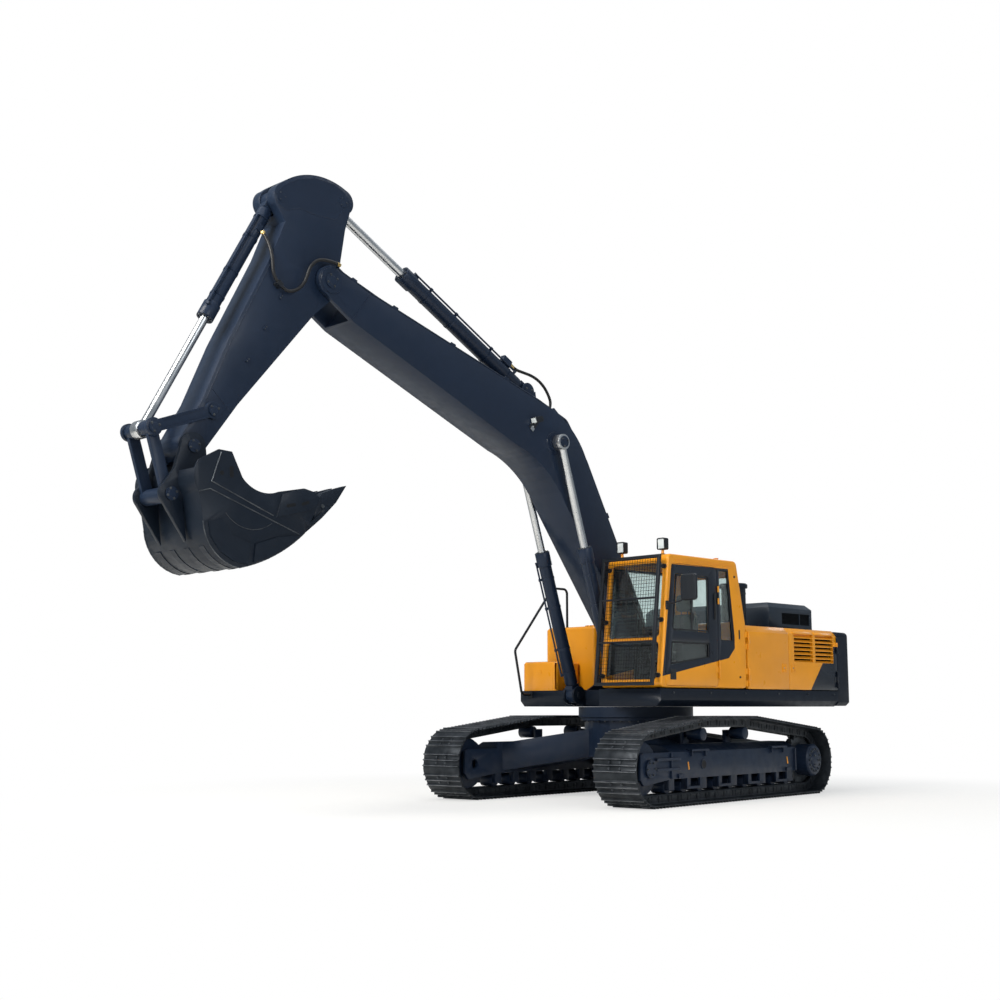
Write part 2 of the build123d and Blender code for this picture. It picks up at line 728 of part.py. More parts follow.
# raised hood over the engine, hinged along its front edge
hood_rear = bay_rear + 5.0
with BuildPart() as engine_hood:
    hood_base = cover_z + hood_gap
    with Locations(((hood_front + hood_rear) / 2, 0, hood_base + hood_height / 2)):
        Box(hood_front - hood_rear, 2 * hood_half_width, hood_height)
    chamfer(engine_hood.faces().sort_by(Axis.Z)[-1].edges(), length=hood_corner)
    with Locations(((hood_front + hood_rear) / 2, 0,
                    hood_base + (hood_height - hood_wall) / 2 - hood_corner / 4)):
        Box(hood_front - hood_rear - 2 * hood_wall - 60, 2 * (hood_half_width - hood_wall - 30),
            hood_height - hood_wall - hood_corner / 2, mode=Mode.SUBTRACT)
    # grille openings in both sides
    for side in (1, -1):
        with Locations(((hood_front + hood_rear) / 2 - 130, side * hood_half_width, cover_z + 165)):
            Box(700, 200, 170, mode=Mode.SUBTRACT)
    for y in hood_hinges:
        with Locations(Location((hood_hinge_x, y, hood_hinge_z), (90, 0, 0))):
            Cylinder(knuckle_radius, knuckle_length)
        with Locations((hood_hinge_x - 10, y, hood_hinge_z + 6)):
            Box(14, knuckle_length, 12)
write(engine_hood.part, "engine_hood")

engine_x, engine_z = -2030.0, 1880.0
engine_length, engine_width, engine_height = 720.0, 1400.0, 640.0     # it lies across the machine
engine_wall = 25.0
with BuildPart() as engine_block:
    with Locations((engine_x, 0, engine_z)):
        Box(engine_length, engine_width, engine_height)
    for y in (-0.4 * engine_width, 0.4 * engine_width):
        with Locations((engine_x, y, deck_z)):
            Box(engine_length * 0.6, 90, engine_z - engine_height / 2 - deck_z + 2,
                align=(Align.CENTER, Align.CENTER, Align.MIN))
    with Locations((engine_x, 0, engine_z)):
        Box(engine_length - 2 * engine_wall, engine_width - 2 * engine_wall, engine_height - 2 * engine_wall,
            mode=Mode.SUBTRACT)
write(engine_block.part, "engine_block")

# tanks and tool box on the right
tank_inner = -560.0
tank_wall = 14.0
fuel_tank_top = 2290.0


def tank(x_rear, x_front, y_outer, y_inner, top, wall, rounding, edge_cut):
    """Closed sheet-metal box standing on the skirt, in the open part."""
    middle = ((x_rear + x_front) / 2, (y_outer + y_inner) / 2, (skirt_top + top) / 2)
    with Locations(middle):
        Box(x_front - x_rear, y_inner - y_outer, top - skirt_top)
    fillet([edge for edge in edges() if abs(edge.tangent_at(0.5).Z) > 0.99], radius=rounding)
    chamfer(faces().sort_by(Axis.Z)[-1].edges(), length=edge_cut)
    with Locations(middle):
        Box(x_front - x_rear - 2 * wall, y_inner - y_outer - 2 * wall, top - skirt_top - 2 * wall - edge_cut,
            mode=Mode.SUBTRACT)


with BuildPart() as fuel_tank:
    tank(-430.0, 190.0, -half_width + 8, tank_inner, fuel_tank_top, tank_wall, 45.0, 35.0)
    with Locations((-150, -900, fuel_tank_top)):
        Cylinder(95, 60)
with BuildPart() as hydraulic_tank:
    tank(pump_front + 8, -440.0, -half_width + 8, tank_inner, 2225.0, tank_wall, 45.0, 35.0)
for name, part in (("fuel_tank", fuel_tank), ("hydraulic_tank", hydraulic_tank)):
    write(part.part, name)

with BuildPart() as tool_box:
    tank(200.0, 690.0, -1460.0, -830.0, 1795.0, 8.0, 50.0, 25.0)
write(tool_box.part, "tool_box")

stack_x, stack_y = -960.0, 960.0
stack_radius, stack_height = 165.0, 600.0
with BuildPart() as intake_stack:
    with BuildSketch(Plane(origin=(stack_x, stack_y, cover_z), x_dir=(1, 0, 0), z_dir=(0, -1, 0))) as section:
        Polygon((0, 0), (stack_radius, 0), (stack_radius, stack_height - 60),
                (stack_radius + 27, stack_height - 60),
                (stack_radius + 27, stack_height - 15), (stack_radius + 12, stack_height), (0, stack_height),
                align=None)
    revolve(section.sketch, axis=Axis((stack_x, stack_y, 0), (0, 0, 1)))
write(intake_stack.part, "intake_stack")


# ================================================================ cab
pillar = 75.0                  # A-pillar, seen from the side
door_sill = cab_floor + 28.0
door_head = 2950.0
band_top = 2830.0              # top of the door's upper glass
door_hinge_x = door_rear - 12.0
cab_door_hinges = (1650.0, 2600.0)
cab_leaf = 30.0                # short enough to stay off the quarter window


def pillar_x(z):
    """Front face of the cab at a height."""
    return cab_front - pillar_rake * (z - cab_floor) / (cab_top - cab_floor)


def cab_profile(inset):
    """Side profile of the cab, shrunk by a wall thickness."""
    with BuildSketch(upright(0)) as profile:
        Polygon((cab_front, cab_floor), (pillar_x(cab_top), cab_top), (cab_rear + rear_rake, cab_top),
                (cab_rear, cab_waist), (cab_rear, cab_floor), align=None)
        if inset:
            offset(amount=-inset, kind=Kind.INTERSECTION, mode=Mode.REPLACE)
        top = profile.vertices().group_by(Axis.Z)[-1]
        fillet(top, radius=roof_radius - inset / 2)
    return profile.sketch


def door_outline(grow):
    """Cab door seen from the side, grown by a gap."""
    with BuildSketch(upright(0)) as outline:
        Polygon((door_rear, door_sill), (pillar_x(door_sill) - pillar, door_sill),
                (pillar_x(door_head) - pillar, door_head), (door_rear, door_head), align=None)
        fillet(outline.vertices().group_by(Axis.Z)[-1], radius=60)
        if grow:
            offset(amount=grow, kind=Kind.INTERSECTION, mode=Mode.REPLACE)
    return outline.sketch


def between(sketch, y_from, y_to):
    """Extrude a side-view sketch between two y positions, in the open part."""
    extrude(sketch.moved(Location((0, y_from, 0))), amount=y_to - y_from, dir=(0, 1, 0))


def cut_between(sketch, y_from, y_to):
    """Cut a side-view sketch out between two y positions, in the open part."""
    extrude(sketch.moved(Location((0, y_from, 0))), amount=y_to - y_from, dir=(0, 1, 0),
            mode=Mode.SUBTRACT)


def side_polygon(*points, rounding=0.0):
    """Side-view polygon with rounded corners."""
    with BuildSketch(upright(0)) as shape:
        Polygon(*points, align=None)
        if rounding:
            fillet(shape.vertices(), radius=rounding)
    return shape.sketch


quarter_window = side_polygon((65, 2015), (85, 2935), (-120, 2935), (-215, 2015), rounding=30)
right_window = side_polygon((-240, 1950), (pillar_x(1950) - 110, 1950), (pillar_x(2920) - 110, 2920),
                            (-90, 2920), rounding=40)
upper_glass = side_polygon((300, 2115), (pillar_x(2115) - 160, 2115), (pillar_x(band_top) - 150, band_top),
                           (300, band_top), rounding=40)
lower_glass = side_polygon((300, 1800), (pillar_x(1690) - 160, 1690), (pillar_x(1985) - 160, 1985),
                           (300, 1985), rounding=25)
front_split = 2000.0           # bar between the upper and lower windscreen
cab_middle = (cab_inner + half_width) / 2
cab_width = half_width - cab_inner
rear_view = (2140.0, 2890.0)   # rear window, from z to z


def front_opening(z_from, z_to):
    """Plane of the raked windscreen, at the middle of an opening."""
    middle_z = (z_from + z_to) / 2
    rake = degrees(atan2(pillar_rake, cab_top - cab_floor))
    return Plane(origin=(pillar_x(middle_z) - cab_wall / 2, cab_middle, middle_z), x_dir=(0, 1, 0),
                 z_dir=(cos(radians(rake)), 0, sin(radians(rake))))


screen_lower = (cab_floor + 95.0, front_split - 25.0)
screen_upper = (front_split + 25.0, cab_top - 105.0)
rear_tilt = degrees(atan2(rear_rake, cab_top - cab_waist))
rear_middle_z = (max(rear_view[0], cab_waist + 20) + rear_view[1]) / 2


def rear_plane():
    """Plane of the sloping rear wall, at the middle of its window."""
    x = cab_rear + rear_rake * (rear_middle_z - cab_waist) / (cab_top - cab_waist) + cab_wall / 2
    return Plane(origin=(x, cab_middle, rear_middle_z), x_dir=(0, 1, 0),
                 z_dir=(-cos(radians(rear_tilt)), 0, sin(radians(rear_tilt))))


rear_size = (cab_width - 210, rear_view[1] - cab_waist - 60)
screen_width = cab_width - 150

with BuildPart() as cab_shell:
    between(cab_profile(0.0), cab_inner, half_width)
    fillet(
        cab_shell.edges().filter_by(
            lambda edge: abs(abs(edge.center().Y - cab_middle) - cab_width / 2) < 1
            and edge.center().Z > cab_floor + 10
        ),
        radius=28,
    )
    cut_between(cab_profile(cab_wall), cab_inner + cab_wall, half_width - cab_wall)
    cut_between(door_outline(door_gap), half_width - cab_wall - door_gap, half_width + 1)
    cut_between(quarter_window, half_width - cab_wall - 1, half_width + 1)
    cut_between(right_window, cab_inner - 1, cab_inner + cab_wall + 1)
    for z_from, z_to in (screen_lower, screen_upper):
        with BuildSketch(front_opening(z_from, z_to)) as opening:
            RectangleRounded(screen_width, z_to - z_from, 50)
        extrude(opening.sketch, amount=cab_wall * 1.6, both=True, mode=Mode.SUBTRACT)
    with BuildSketch(rear_plane()) as opening:
        RectangleRounded(*rear_size, 50)
    extrude(opening.sketch, amount=cab_wall * 1.6, both=True, mode=Mode.SUBTRACT)
write(cab_shell.part, "cab_shell")

# fixed halves of the hinges of the cab door and the front side door
with BuildPart() as cab_hinges:
    knuckles(door_hinge_x, 1, cab_door_hinges, -cab_leaf, fixed=True)
    knuckles(front_hinge_x, 1, door_hinges, hinge_leaf, fixed=True)
    add(cab_shell.part, mode=Mode.SUBTRACT)
write(cab_hinges.part, "cab_hinges")

with BuildPart() as cab_glass:
    for z_from, z_to in (screen_lower, screen_upper):
        with BuildSketch(front_opening(z_from, z_to)) as pane:
            RectangleRounded(screen_width, z_to - z_from, 50)
        extrude(pane.sketch, amount=glass_thickness / 2, both=True)
    with BuildSketch(rear_plane()) as pane:
        RectangleRounded(*rear_size, 50)
    extrude(pane.sketch, amount=glass_thickness / 2, both=True)
    between(quarter_window, half_width - cab_wall / 2 - 4, half_width - cab_wall / 2 + 4)
    between(right_window, cab_inner + cab_wall / 2 - 4, cab_inner + cab_wall / 2 + 4)
write(cab_glass.part, "cab_glass")

with BuildPart() as cab_door:
    between(door_outline(0.0), half_width - cab_wall, half_width)
    cut_between(upper_glass, half_width - cab_wall - 1, half_width + 1)
    cut_between(lower_glass, half_width - cab_wall - 1, half_width + 1)
    knuckles(door_hinge_x, 1, cab_door_hinges, hinge_leaf, fixed=False)
write(cab_door.part, "cab_door")

with BuildPart() as door_glass:
    between(upper_glass, half_width - cab_wall / 2 - 4, half_width - cab_wall / 2 + 4)
    between(lower_glass, half_width - cab_wall / 2 - 4, half_width - cab_wall / 2 + 4)
write(door_glass.part, "door_glass")

floor_z = cab_floor + cab_wall
with BuildPart() as operator_seat:
    with Locations((430, cab_middle, floor_z + 140)):
        Box(420, 380, 280)
    with Locations((450, cab_middle, floor_z + 350)):
        Box(520, 500, 140)
    with BuildSketch(upright(cab_middle)) as back:
        Polygon((190, floor_z + 290), (320, floor_z + 290), (230, floor_z + 940), (130, floor_z + 940),
                align=None)
    extrude(back.sketch, amount=240, both=True)
    with BuildSketch(upright(cab_middle)) as headrest:
        Polygon((135, floor_z + 938), (225, floor_z + 938), (210, floor_z + 1190), (125, floor_z + 1190),
                align=None)
    extrude(headrest.sketch, amount=140, both=True)
write(operator_seat.part, "operator_seat")

with BuildPart() as control_consoles:
    for y in (cab_middle - 340, cab_middle + 340):
        with Locations((430, y, floor_z + 290)):
            Box(620, 110, 580)
        with Locations((690, y, floor_z + 580)):
            Cylinder(16, 150, align=(Align.CENTER, Align.CENTER, Align.MIN))
        with Locations((690, y, floor_z + 730)):
            Cylinder(26, 110, align=(Align.CENTER, Align.CENTER, Align.MIN))
write(control_consoles.part, "control_consoles")

with BuildPart() as travel_levers:
    for y in (cab_middle - 90, cab_middle + 90):
        with Locations((980, y, floor_z)):
            Box(260, 120, 60, align=(Align.CENTER, Align.CENTER, Align.MIN))
        with Locations((960, y, floor_z + 60)):
            Cylinder(14, 520, align=(Align.CENTER, Align.CENTER, Align.MIN))
write(travel_levers.part, "travel_levers")

guard_bar = 40.0
guard_offset = 125.0
guard_bottom = cab_floor + 25.0
guard_top = cab_top - 20.0
with BuildPart() as front_guard:
    rake = degrees(atan2(pillar_rake, cab_top - cab_floor))
    middle_z = (guard_bottom + guard_top) / 2
    guard_plane = Plane(origin=(pillar_x(middle_z) + guard_offset, cab_middle, middle_z), x_dir=(0, 1, 0),
                        z_dir=(cos(radians(rake)), 0, sin(radians(rake))))
    tall = (guard_top - guard_bottom) / cos(radians(rake))
    with BuildSketch(guard_plane) as bars:
        Rectangle(cab_width - 40, tall)
        Rectangle(cab_width - 40 - 2 * guard_bar, tall - 2 * guard_bar, mode=Mode.SUBTRACT)
        for height in (-tall / 6, tall / 6):
            with Locations((0, height)):
                Rectangle(cab_width - 60, guard_bar / 2)
    extrude(bars.sketch, amount=guard_bar / 2, both=True)
    for y in (cab_inner + 45, half_width - 45):
        for z in (cab_floor + 150, middle_z, cab_top - 160):
            with Locations((pillar_x(z - 15), y, z)):
                Box(guard_offset, 30, 30, align=(Align.MIN, Align.CENTER, Align.CENTER))
write(front_guard.part, "front_guard")


# ================================================================ mirror, lamps and handrail
mirror_middle = (1205.0, 1870.0, 2620.0)
mirror_root = (pillar_x(2440.0) - 20, half_width - 6, 2440.0)
with BuildPart() as cab_mirror:
    with BuildSketch(Plane.YZ.offset(mirror_middle[0])) as face:
        with Locations(mirror_middle[1:]):
            RectangleRounded(230, 320, 40)
    extrude(face.sketch, amount=26, both=True)
    chamfer(cab_mirror.faces().sort_by(Axis.X)[-1].edges(), length=14)
    tube([mirror_root, (mirror_root[0] + 25, half_width + 130, mirror_root[2]),
          (mirror_middle[0], half_width + 270, mirror_root[2] + 20), mirror_middle], 10.0, 60.0)
    with Locations((mirror_root[0] - 5, half_width + 6, mirror_root[2] - 20)):
        Box(50, 14, 110)
    add(cab_shell.part, mode=Mode.SUBTRACT)      # the arm's foot is fitted to the pillar
write(cab_mirror.part, "cab_mirror")

lamp_size = (80.0, 125.0, 150.0)
lamp_x = pillar_x(cab_top) - 90
with BuildPart() as work_lamps:
    for y in (cab_inner + 160, half_width - 160):
        with Locations((lamp_x, y, cab_top)):
            Cylinder(14, 70, align=(Align.CENTER, Align.CENTER, Align.MIN))
            Box(60, 60, 10, align=(Align.CENTER, Align.CENTER, Align.MIN))
        with BuildSketch(Plane.YZ.offset(lamp_x - lamp_size[0] / 2)) as case:
            with Locations((y, cab_top + 60 + lamp_size[2] / 2)):
                RectangleRounded(lamp_size[1], lamp_size[2], 22)
        extrude(case.sketch, amount=lamp_size[0])
        with BuildSketch(Plane.YZ.offset(lamp_x + lamp_size[0] / 2 - 12)) as lens:
            with Locations((y, cab_top + 60 + lamp_size[2] / 2)):
                RectangleRounded(lamp_size[1] - 24, lamp_size[2] - 24, 14)
        extrude(lens.sketch, amount=13, mode=Mode.SUBTRACT)
write(work_lamps.part, "work_lamps")

rail_radius = 17.0
rail_y = -1300.0
rail_foot_z = 1345.0
with BuildPart() as handrail:
    tube([(deck_front_right, rail_y, rail_foot_z), (870, rail_y, rail_foot_z), (1005, rail_y, 1950),
          (540, rail_y, 2500), (240, rail_y, 2850), (-60, rail_y, 2850), (-60, rail_y, fuel_tank_top)],
         rail_radius, 70.0)
    with Locations((deck_front_right + 6, rail_y, rail_foot_z)):
        Box(12, 90, 90)
    with Locations((-60, rail_y, fuel_tank_top + 6)):
        Box(90, 90, 12)
write(handrail.part, "handrail")


# ================================================================ hydraulic cylinders
eye_clearance = 0.5            # a pin in its eye
# closed is pin to pin when retracted; barrel_end is from the foot pin to the rod end of the barrel
cylinder_sizes = {
    # name: barrel radius, rod radius, eye radius, closed, stroke, barrel end
    "boom": (84.0, 50.0, 100.0, 2265.0, 1415.0, 1960.0),
    "arm": (95.0, 55.0, 105.0, 2480.0, 1640.0, 2355.0),
    "bucket": (80.0, 47.0, 95.0, 1950.0, 1285.0, 1700.0),
}
barrel_wall = 18.0
tail_room = 125.0              # from the closed rod's piston back to the foot eye


def tube_plane(foot, rod_pin, y):
    """Half-section plane along a cylinder: x from foot to rod, y outwards."""
    return side_plane(foot, span(foot, rod_pin)[1], y)


def barrel(kind, foot, rod_pin, y, pin_radius):
    """Barrel with its foot eye, bore and gland, in the open part."""
    radius, rod_radius, eye_radius, closed, stroke, end = cylinder_sizes[kind]
    plane = tube_plane(foot, rod_pin, y)
    bore = radius - barrel_wall
    start = lug_radius + running_gap + 10
    with BuildSketch(plane) as half_section:
        Polygon((start, 0), (start, radius - 20), (start + 40, radius), (end - 190, radius),
                (end - 185, radius + 14), (end, radius + 14), (end, rod_radius + 1),
                (end - 60, rod_radius + 1), (end - 60, bore), (start + 45, bore), (start + 45, 0),
                align=None)
    axis = Axis(plane.origin, plane.x_dir)
    revolve(half_section.sketch, axis=axis)
    with BuildSketch(plane) as eye:
        Circle(eye_radius)
        with Locations(((start + 10) / 2, 0)):
            Rectangle(start + 10, 2 * radius - 30)
    extrude(eye.sketch, amount=eye_half, both=True)
    with BuildSketch(plane) as pin_hole:
        Circle(pin_radius + eye_clearance)
    extrude(pin_hole.sketch, amount=eye_half + 5, both=True, mode=Mode.SUBTRACT)


def rod(kind, foot, rod_pin, y):
    """Rod with its eye and piston, in the open part; the eye's pin heads stay on the eye."""
    radius, rod_radius, eye_radius, closed, stroke, end = cylinder_sizes[kind]
    length = span(foot, rod_pin)[0]
    plane = tube_plane(foot, rod_pin, y)
    tail = length - (closed - eye_radius - tail_room)
    with BuildSketch(plane) as half_section:
        Polygon((tail, 0), (tail, radius - barrel_wall - 1), (tail + 70, radius - barrel_wall - 1),
                (tail + 70, rod_radius), (length - eye_radius * 0.75, rod_radius),
                (length - eye_radius * 0.75, 0), align=None)
    revolve(half_section.sketch, axis=Axis(plane.origin, plane.x_dir))
    with BuildSketch(plane) as eye:
        with Locations((length, 0)):
            Circle(eye_radius)
    extrude(eye.sketch, amount=eye_half, both=True)
    with BuildSketch(plane) as cap:
        with Locations((length, 0)):
            Circle(eye_radius * 0.5)
    extrude(cap.sketch, amount=eye_half + side_play - 6, both=True)


# ================================================================ boom
boom_plane = side_plane(boom_foot, boom_angle)
boom_tip = on_link(boom_plane, boom_length, 0)
boom_rod_pin = (2922.0, 1047.0)        # on the boom: where the boom cylinders push
arm_cylinder_foot = (3560.0, 1400.0)   # on the boom
tip_radius = 175.0
knee = 2850.0                          # along the boom, where it bends
fork_start = 6195.0
arm_pin_radius = 50.0
boom_half = boom_width / 2
arm_half = arm_width / 2


# side outline, in the boom's own plane
with BuildSketch(boom_plane) as boom_outline:
    with BuildLine():
        Line((-40, -150), (knee - 550, 540))
        ThreePointArc((knee - 550, 540), (knee, 655), (knee + 550, 556))
        Line((knee + 550, 556), (boom_length - 515, -137))
        Line((boom_length - 515, -137), (boom_length, -tip_radius))
        Line((boom_length, -tip_radius), (boom_length, tip_radius))
        Line((boom_length, tip_radius), (boom_length - 475, 306))
        Line((boom_length - 475, 306), (knee + 500, 1325))
        ThreePointArc((knee + 500, 1325), (knee + 70, 1425), (knee - 400, 1342))
        Line((knee - 400, 1342), (380, 405))
        Line((380, 405), (-60, 150))
        Line((-60, 150), (-40, -150))
    make_face()

boom_cylinder_pin = on_link(boom_plane, *boom_rod_pin)
arm_foot_pin = on_link(boom_plane, *arm_cylinder_foot)
hollow_start = 280.0

with BuildPart() as boom:
    extrude(boom_outline.sketch, amount=boom_half, both=True)
    with BuildSketch(boom_plane):
        Circle(160)
        with Locations((boom_length, 0)):
            Circle(tip_radius)
    extrude(amount=boom_half, both=True)
    # hollow box, closed at both ends
    with BuildSketch(boom_plane):
        add(boom_outline.sketch_local)
        offset(amount=-boom_plate, kind=Kind.INTERSECTION, mode=Mode.REPLACE)
        with Locations(((hollow_start + fork_start - 20) / 2, 500)):
            Rectangle(fork_start - 20 - hollow_start, 3000, mode=Mode.INTERSECT)
        with Locations(boom_rod_pin):
            Circle(105, mode=Mode.SUBTRACT)
    extrude(amount=boom_half - boom_plate, both=True, mode=Mode.SUBTRACT)
    # fork for the arm
    with BuildSketch(boom_plane):
        with Locations(((fork_start + boom_length + 300) / 2, 100)):
            Rectangle(boom_length + 300 - fork_start, 1000)
    extrude(amount=arm_half + side_play, both=True, mode=Mode.SUBTRACT)
    # bosses outside the plates, stopping short of the rods' eyes
    with BuildSketch(boom_plane):
        with Locations(boom_rod_pin):
            Circle(105)
    extrude(amount=boom_cylinder_side - eye_half - side_play, both=True)
    # bracket for the arm cylinder
    for side in (1, -1):
        with BuildSketch(side_plane(boom_foot, boom_angle, side * (eye_half + side_play + 14))):
            Polygon((knee + 420, 1300), (knee + 610, 1490), (arm_cylinder_foot[0], arm_cylinder_foot[1]),
                    (knee + 1000, 1130), (knee + 420, 1200), align=None)
            with Locations(arm_cylinder_foot):
                Circle(112)
        extrude(amount=14, both=True)
    # pins: arm cylinder foot, and arm pivot
    with BuildSketch(boom_plane):
        with Locations(arm_cylinder_foot):
            Circle(cylinder_pin_radius)
    extrude(amount=eye_half + side_play + 34, both=True)
    with BuildSketch(boom_plane):
        with Locations((boom_length, 0)):
            Circle(arm_pin_radius)
    extrude(amount=boom_half + 16, both=True)
    # bore for the foot pin
    with BuildSketch(boom_plane):
        Circle(foot_pin_radius + eye_clearance)
    extrude(amount=boom_half + 1, both=True, mode=Mode.SUBTRACT)
write(boom.part, "boom")

boom_lamp_at = (3371.0, 1026.0)        # along and above the foot-to-tip line
with BuildPart() as boom_lamp:
    lamp_plane = side_plane(boom_foot, boom_angle, boom_half + 50)
    with BuildSketch(lamp_plane) as case:
        with Locations(boom_lamp_at):
            RectangleRounded(75, 130, 20, rotation=boom_angle)
    extrude(case.sketch, amount=50, both=True)
    with BuildSketch(side_plane(boom_foot, boom_angle, boom_half + 6)) as bracket:
        with Locations((boom_lamp_at[0] - 20, boom_lamp_at[1] - 60)):
            Rectangle(90, 160)
    extrude(bracket.sketch, amount=6, both=True)
write(boom_lamp.part, "boom_lamp")

pipe_radius = 15.0
pipe_rise = 32.0               # pipe centre above the top plate
pipe_y = 225.0
pipe_clamps = (900.0, 1600.0, 4000.0, 4900.0, 5800.0, 6420.0)     # along the boom
clamp_length = 70.0
top_rear = ((380.0, 405.0), (knee - 400, 1342.0))      # straight runs of the boom's top plate
top_front = ((knee + 500, 1325.0), (boom_length - 475, 306.0))
top_tip = ((boom_length - 475, 306.0), (boom_length, tip_radius))
hose_radius = 19.0
manifold_x = knee + 260.0               # hose block on the knee
manifold_foot, manifold_z = 1402.0, 1465.0     # its lowest corner and its top
manifold_length = 110.0
hose_port = (6700.0, 210.0, 285.0)     # elbow on the left pipe's front end


def above(run, x, rise):
    """Point over a straight run of the top plate."""
    (x_0, y_0), (x_1, y_1) = run
    slope = (y_1 - y_0) / (x_1 - x_0)
    return (x, y_0 + slope * (x - x_0) + rise * hypot(1, slope))


def on_boom(x, z, y):
    """World position of a point given along, above and to the left of the boom."""
    return boom_plane.from_local_coords((x, z, -y))


with BuildPart() as boom_pipes:
    for side in (1, -1):
        stations = [above(top_rear, 560, pipe_rise), above(top_rear, 2300, pipe_rise), (knee + 60, 1483.0),
                    above(top_front, 3430, pipe_rise), above(top_front, 6060, pipe_rise),
                    above(top_tip, 6480, pipe_rise)]
        tube([on_boom(x, z, side * pipe_y) for x, z in stations], pipe_radius, 150.0)
        for x in pipe_clamps:
            run = top_rear if x < knee else top_front if x < fork_start else top_tip
            clamp_x, clamp_z = above(run, x, 0.0)
            tilt = degrees(atan2(run[1][1] - run[0][1], run[1][0] - run[0][0]))
            with BuildSketch(side_plane(boom_foot, boom_angle, side * pipe_y)) as clamp:
                with Locations(Location((clamp_x, clamp_z, 0), (0, 0, tilt))):
                    Rectangle(clamp_length, pipe_rise + 26, align=(Align.CENTER, Align.MIN))
            extrude(clamp.sketch, amount=20, both=True)
    # elbow that hands the left pipe over to the hose
    tube([on_boom(*above(top_tip, 6470, pipe_rise), pipe_y),
          on_boom(*above(top_tip, 6600, pipe_rise), pipe_y),
          on_boom(hose_port[0], hose_port[1], pipe_y + 10), on_boom(*hose_port)], pipe_radius, 18.0)
    # block on the knee that joins the pipes to the arm cylinder's hose
    with BuildSketch(side_plane(boom_foot, boom_angle, 0)) as block:
        with Locations((manifold_x, (manifold_z + manifold_foot) / 2)):
            Rectangle(manifold_length, manifold_z - manifold_foot)
    extrude(block.sketch, amount=pipe_y - 10, both=True)
    add(boom.part, mode=Mode.SUBTRACT)      # clamps and block are fitted to the plates
write(boom_pipes.part, "boom_pipes")

with BuildPart() as boom_cylinder_barrels:
    for side in (1, -1):
        barrel("boom", boom_cylinder_foot, boom_cylinder_pin, side * boom_cylinder_side, cylinder_pin_radius)
write(boom_cylinder_barrels.part, "boom_cylinder_barrels")
with BuildPart() as boom_cylinder_rods:
    for side in (1, -1):
        rod("boom", boom_cylinder_foot, boom_cylinder_pin, side * boom_cylinder_side)
write(boom_cylinder_rods.part, "boom_cylinder_rods")


# ================================================================ arm
arm_plane = side_plane(boom_tip, arm_angle)
bucket_pin = on_link(arm_plane, arm_length, 0)
arm_rod_eye = (-890.0, 467.0)          # on the arm: arm cylinder's rod
bucket_cylinder_eye = (-237.0, 1031.0)
rocker_pivot = (2242.0, 77.0)
rod_end = (2880.0, 441.0)              # rocker, link and bucket cylinder meet
arm_boss = 185.0
rod_slot = eye_half + side_play
tail_fork = -640.0             # the fork round the rod's eye starts here
rod_pin = on_link(arm_plane, *rod_end)
arm_rod_pin = on_link(arm_plane, *arm_rod_eye)
bucket_cylinder_pin = on_link(arm_plane, *bucket_cylinder_eye)


# side outline, in the arm's own plane: underside, tail, front
with BuildSketch(arm_plane) as arm_outline:
    with BuildLine():
        Line((arm_length, -140), (1950, -100))
        Line((1950, -100), (430, -120))
        Line((430, -120), (0, -arm_boss))
        Line((0, -arm_boss), (-170, -50))
        Line((-170, -50), (-662, 237))
        Line((-662, 237), (-870, 325))
        ThreePointArc((-870, 325), (-1010, 380), (-1030, 530))
        ThreePointArc((-1030, 530), (-790, 920), (-350, 1135))
        ThreePointArc((-350, 1135), (-200, 1130), (-115, 1010))
        Line((-115, 1010), (-60, 818))
        Line((-60, 818), (352, 690))
        Line((352, 690), (1518, 432))
        Line((1518, 432), (2240, 225))
        Line((2240, 225), (arm_length, 145))
        Line((arm_length, 145), (arm_length, -140))
    make_face()

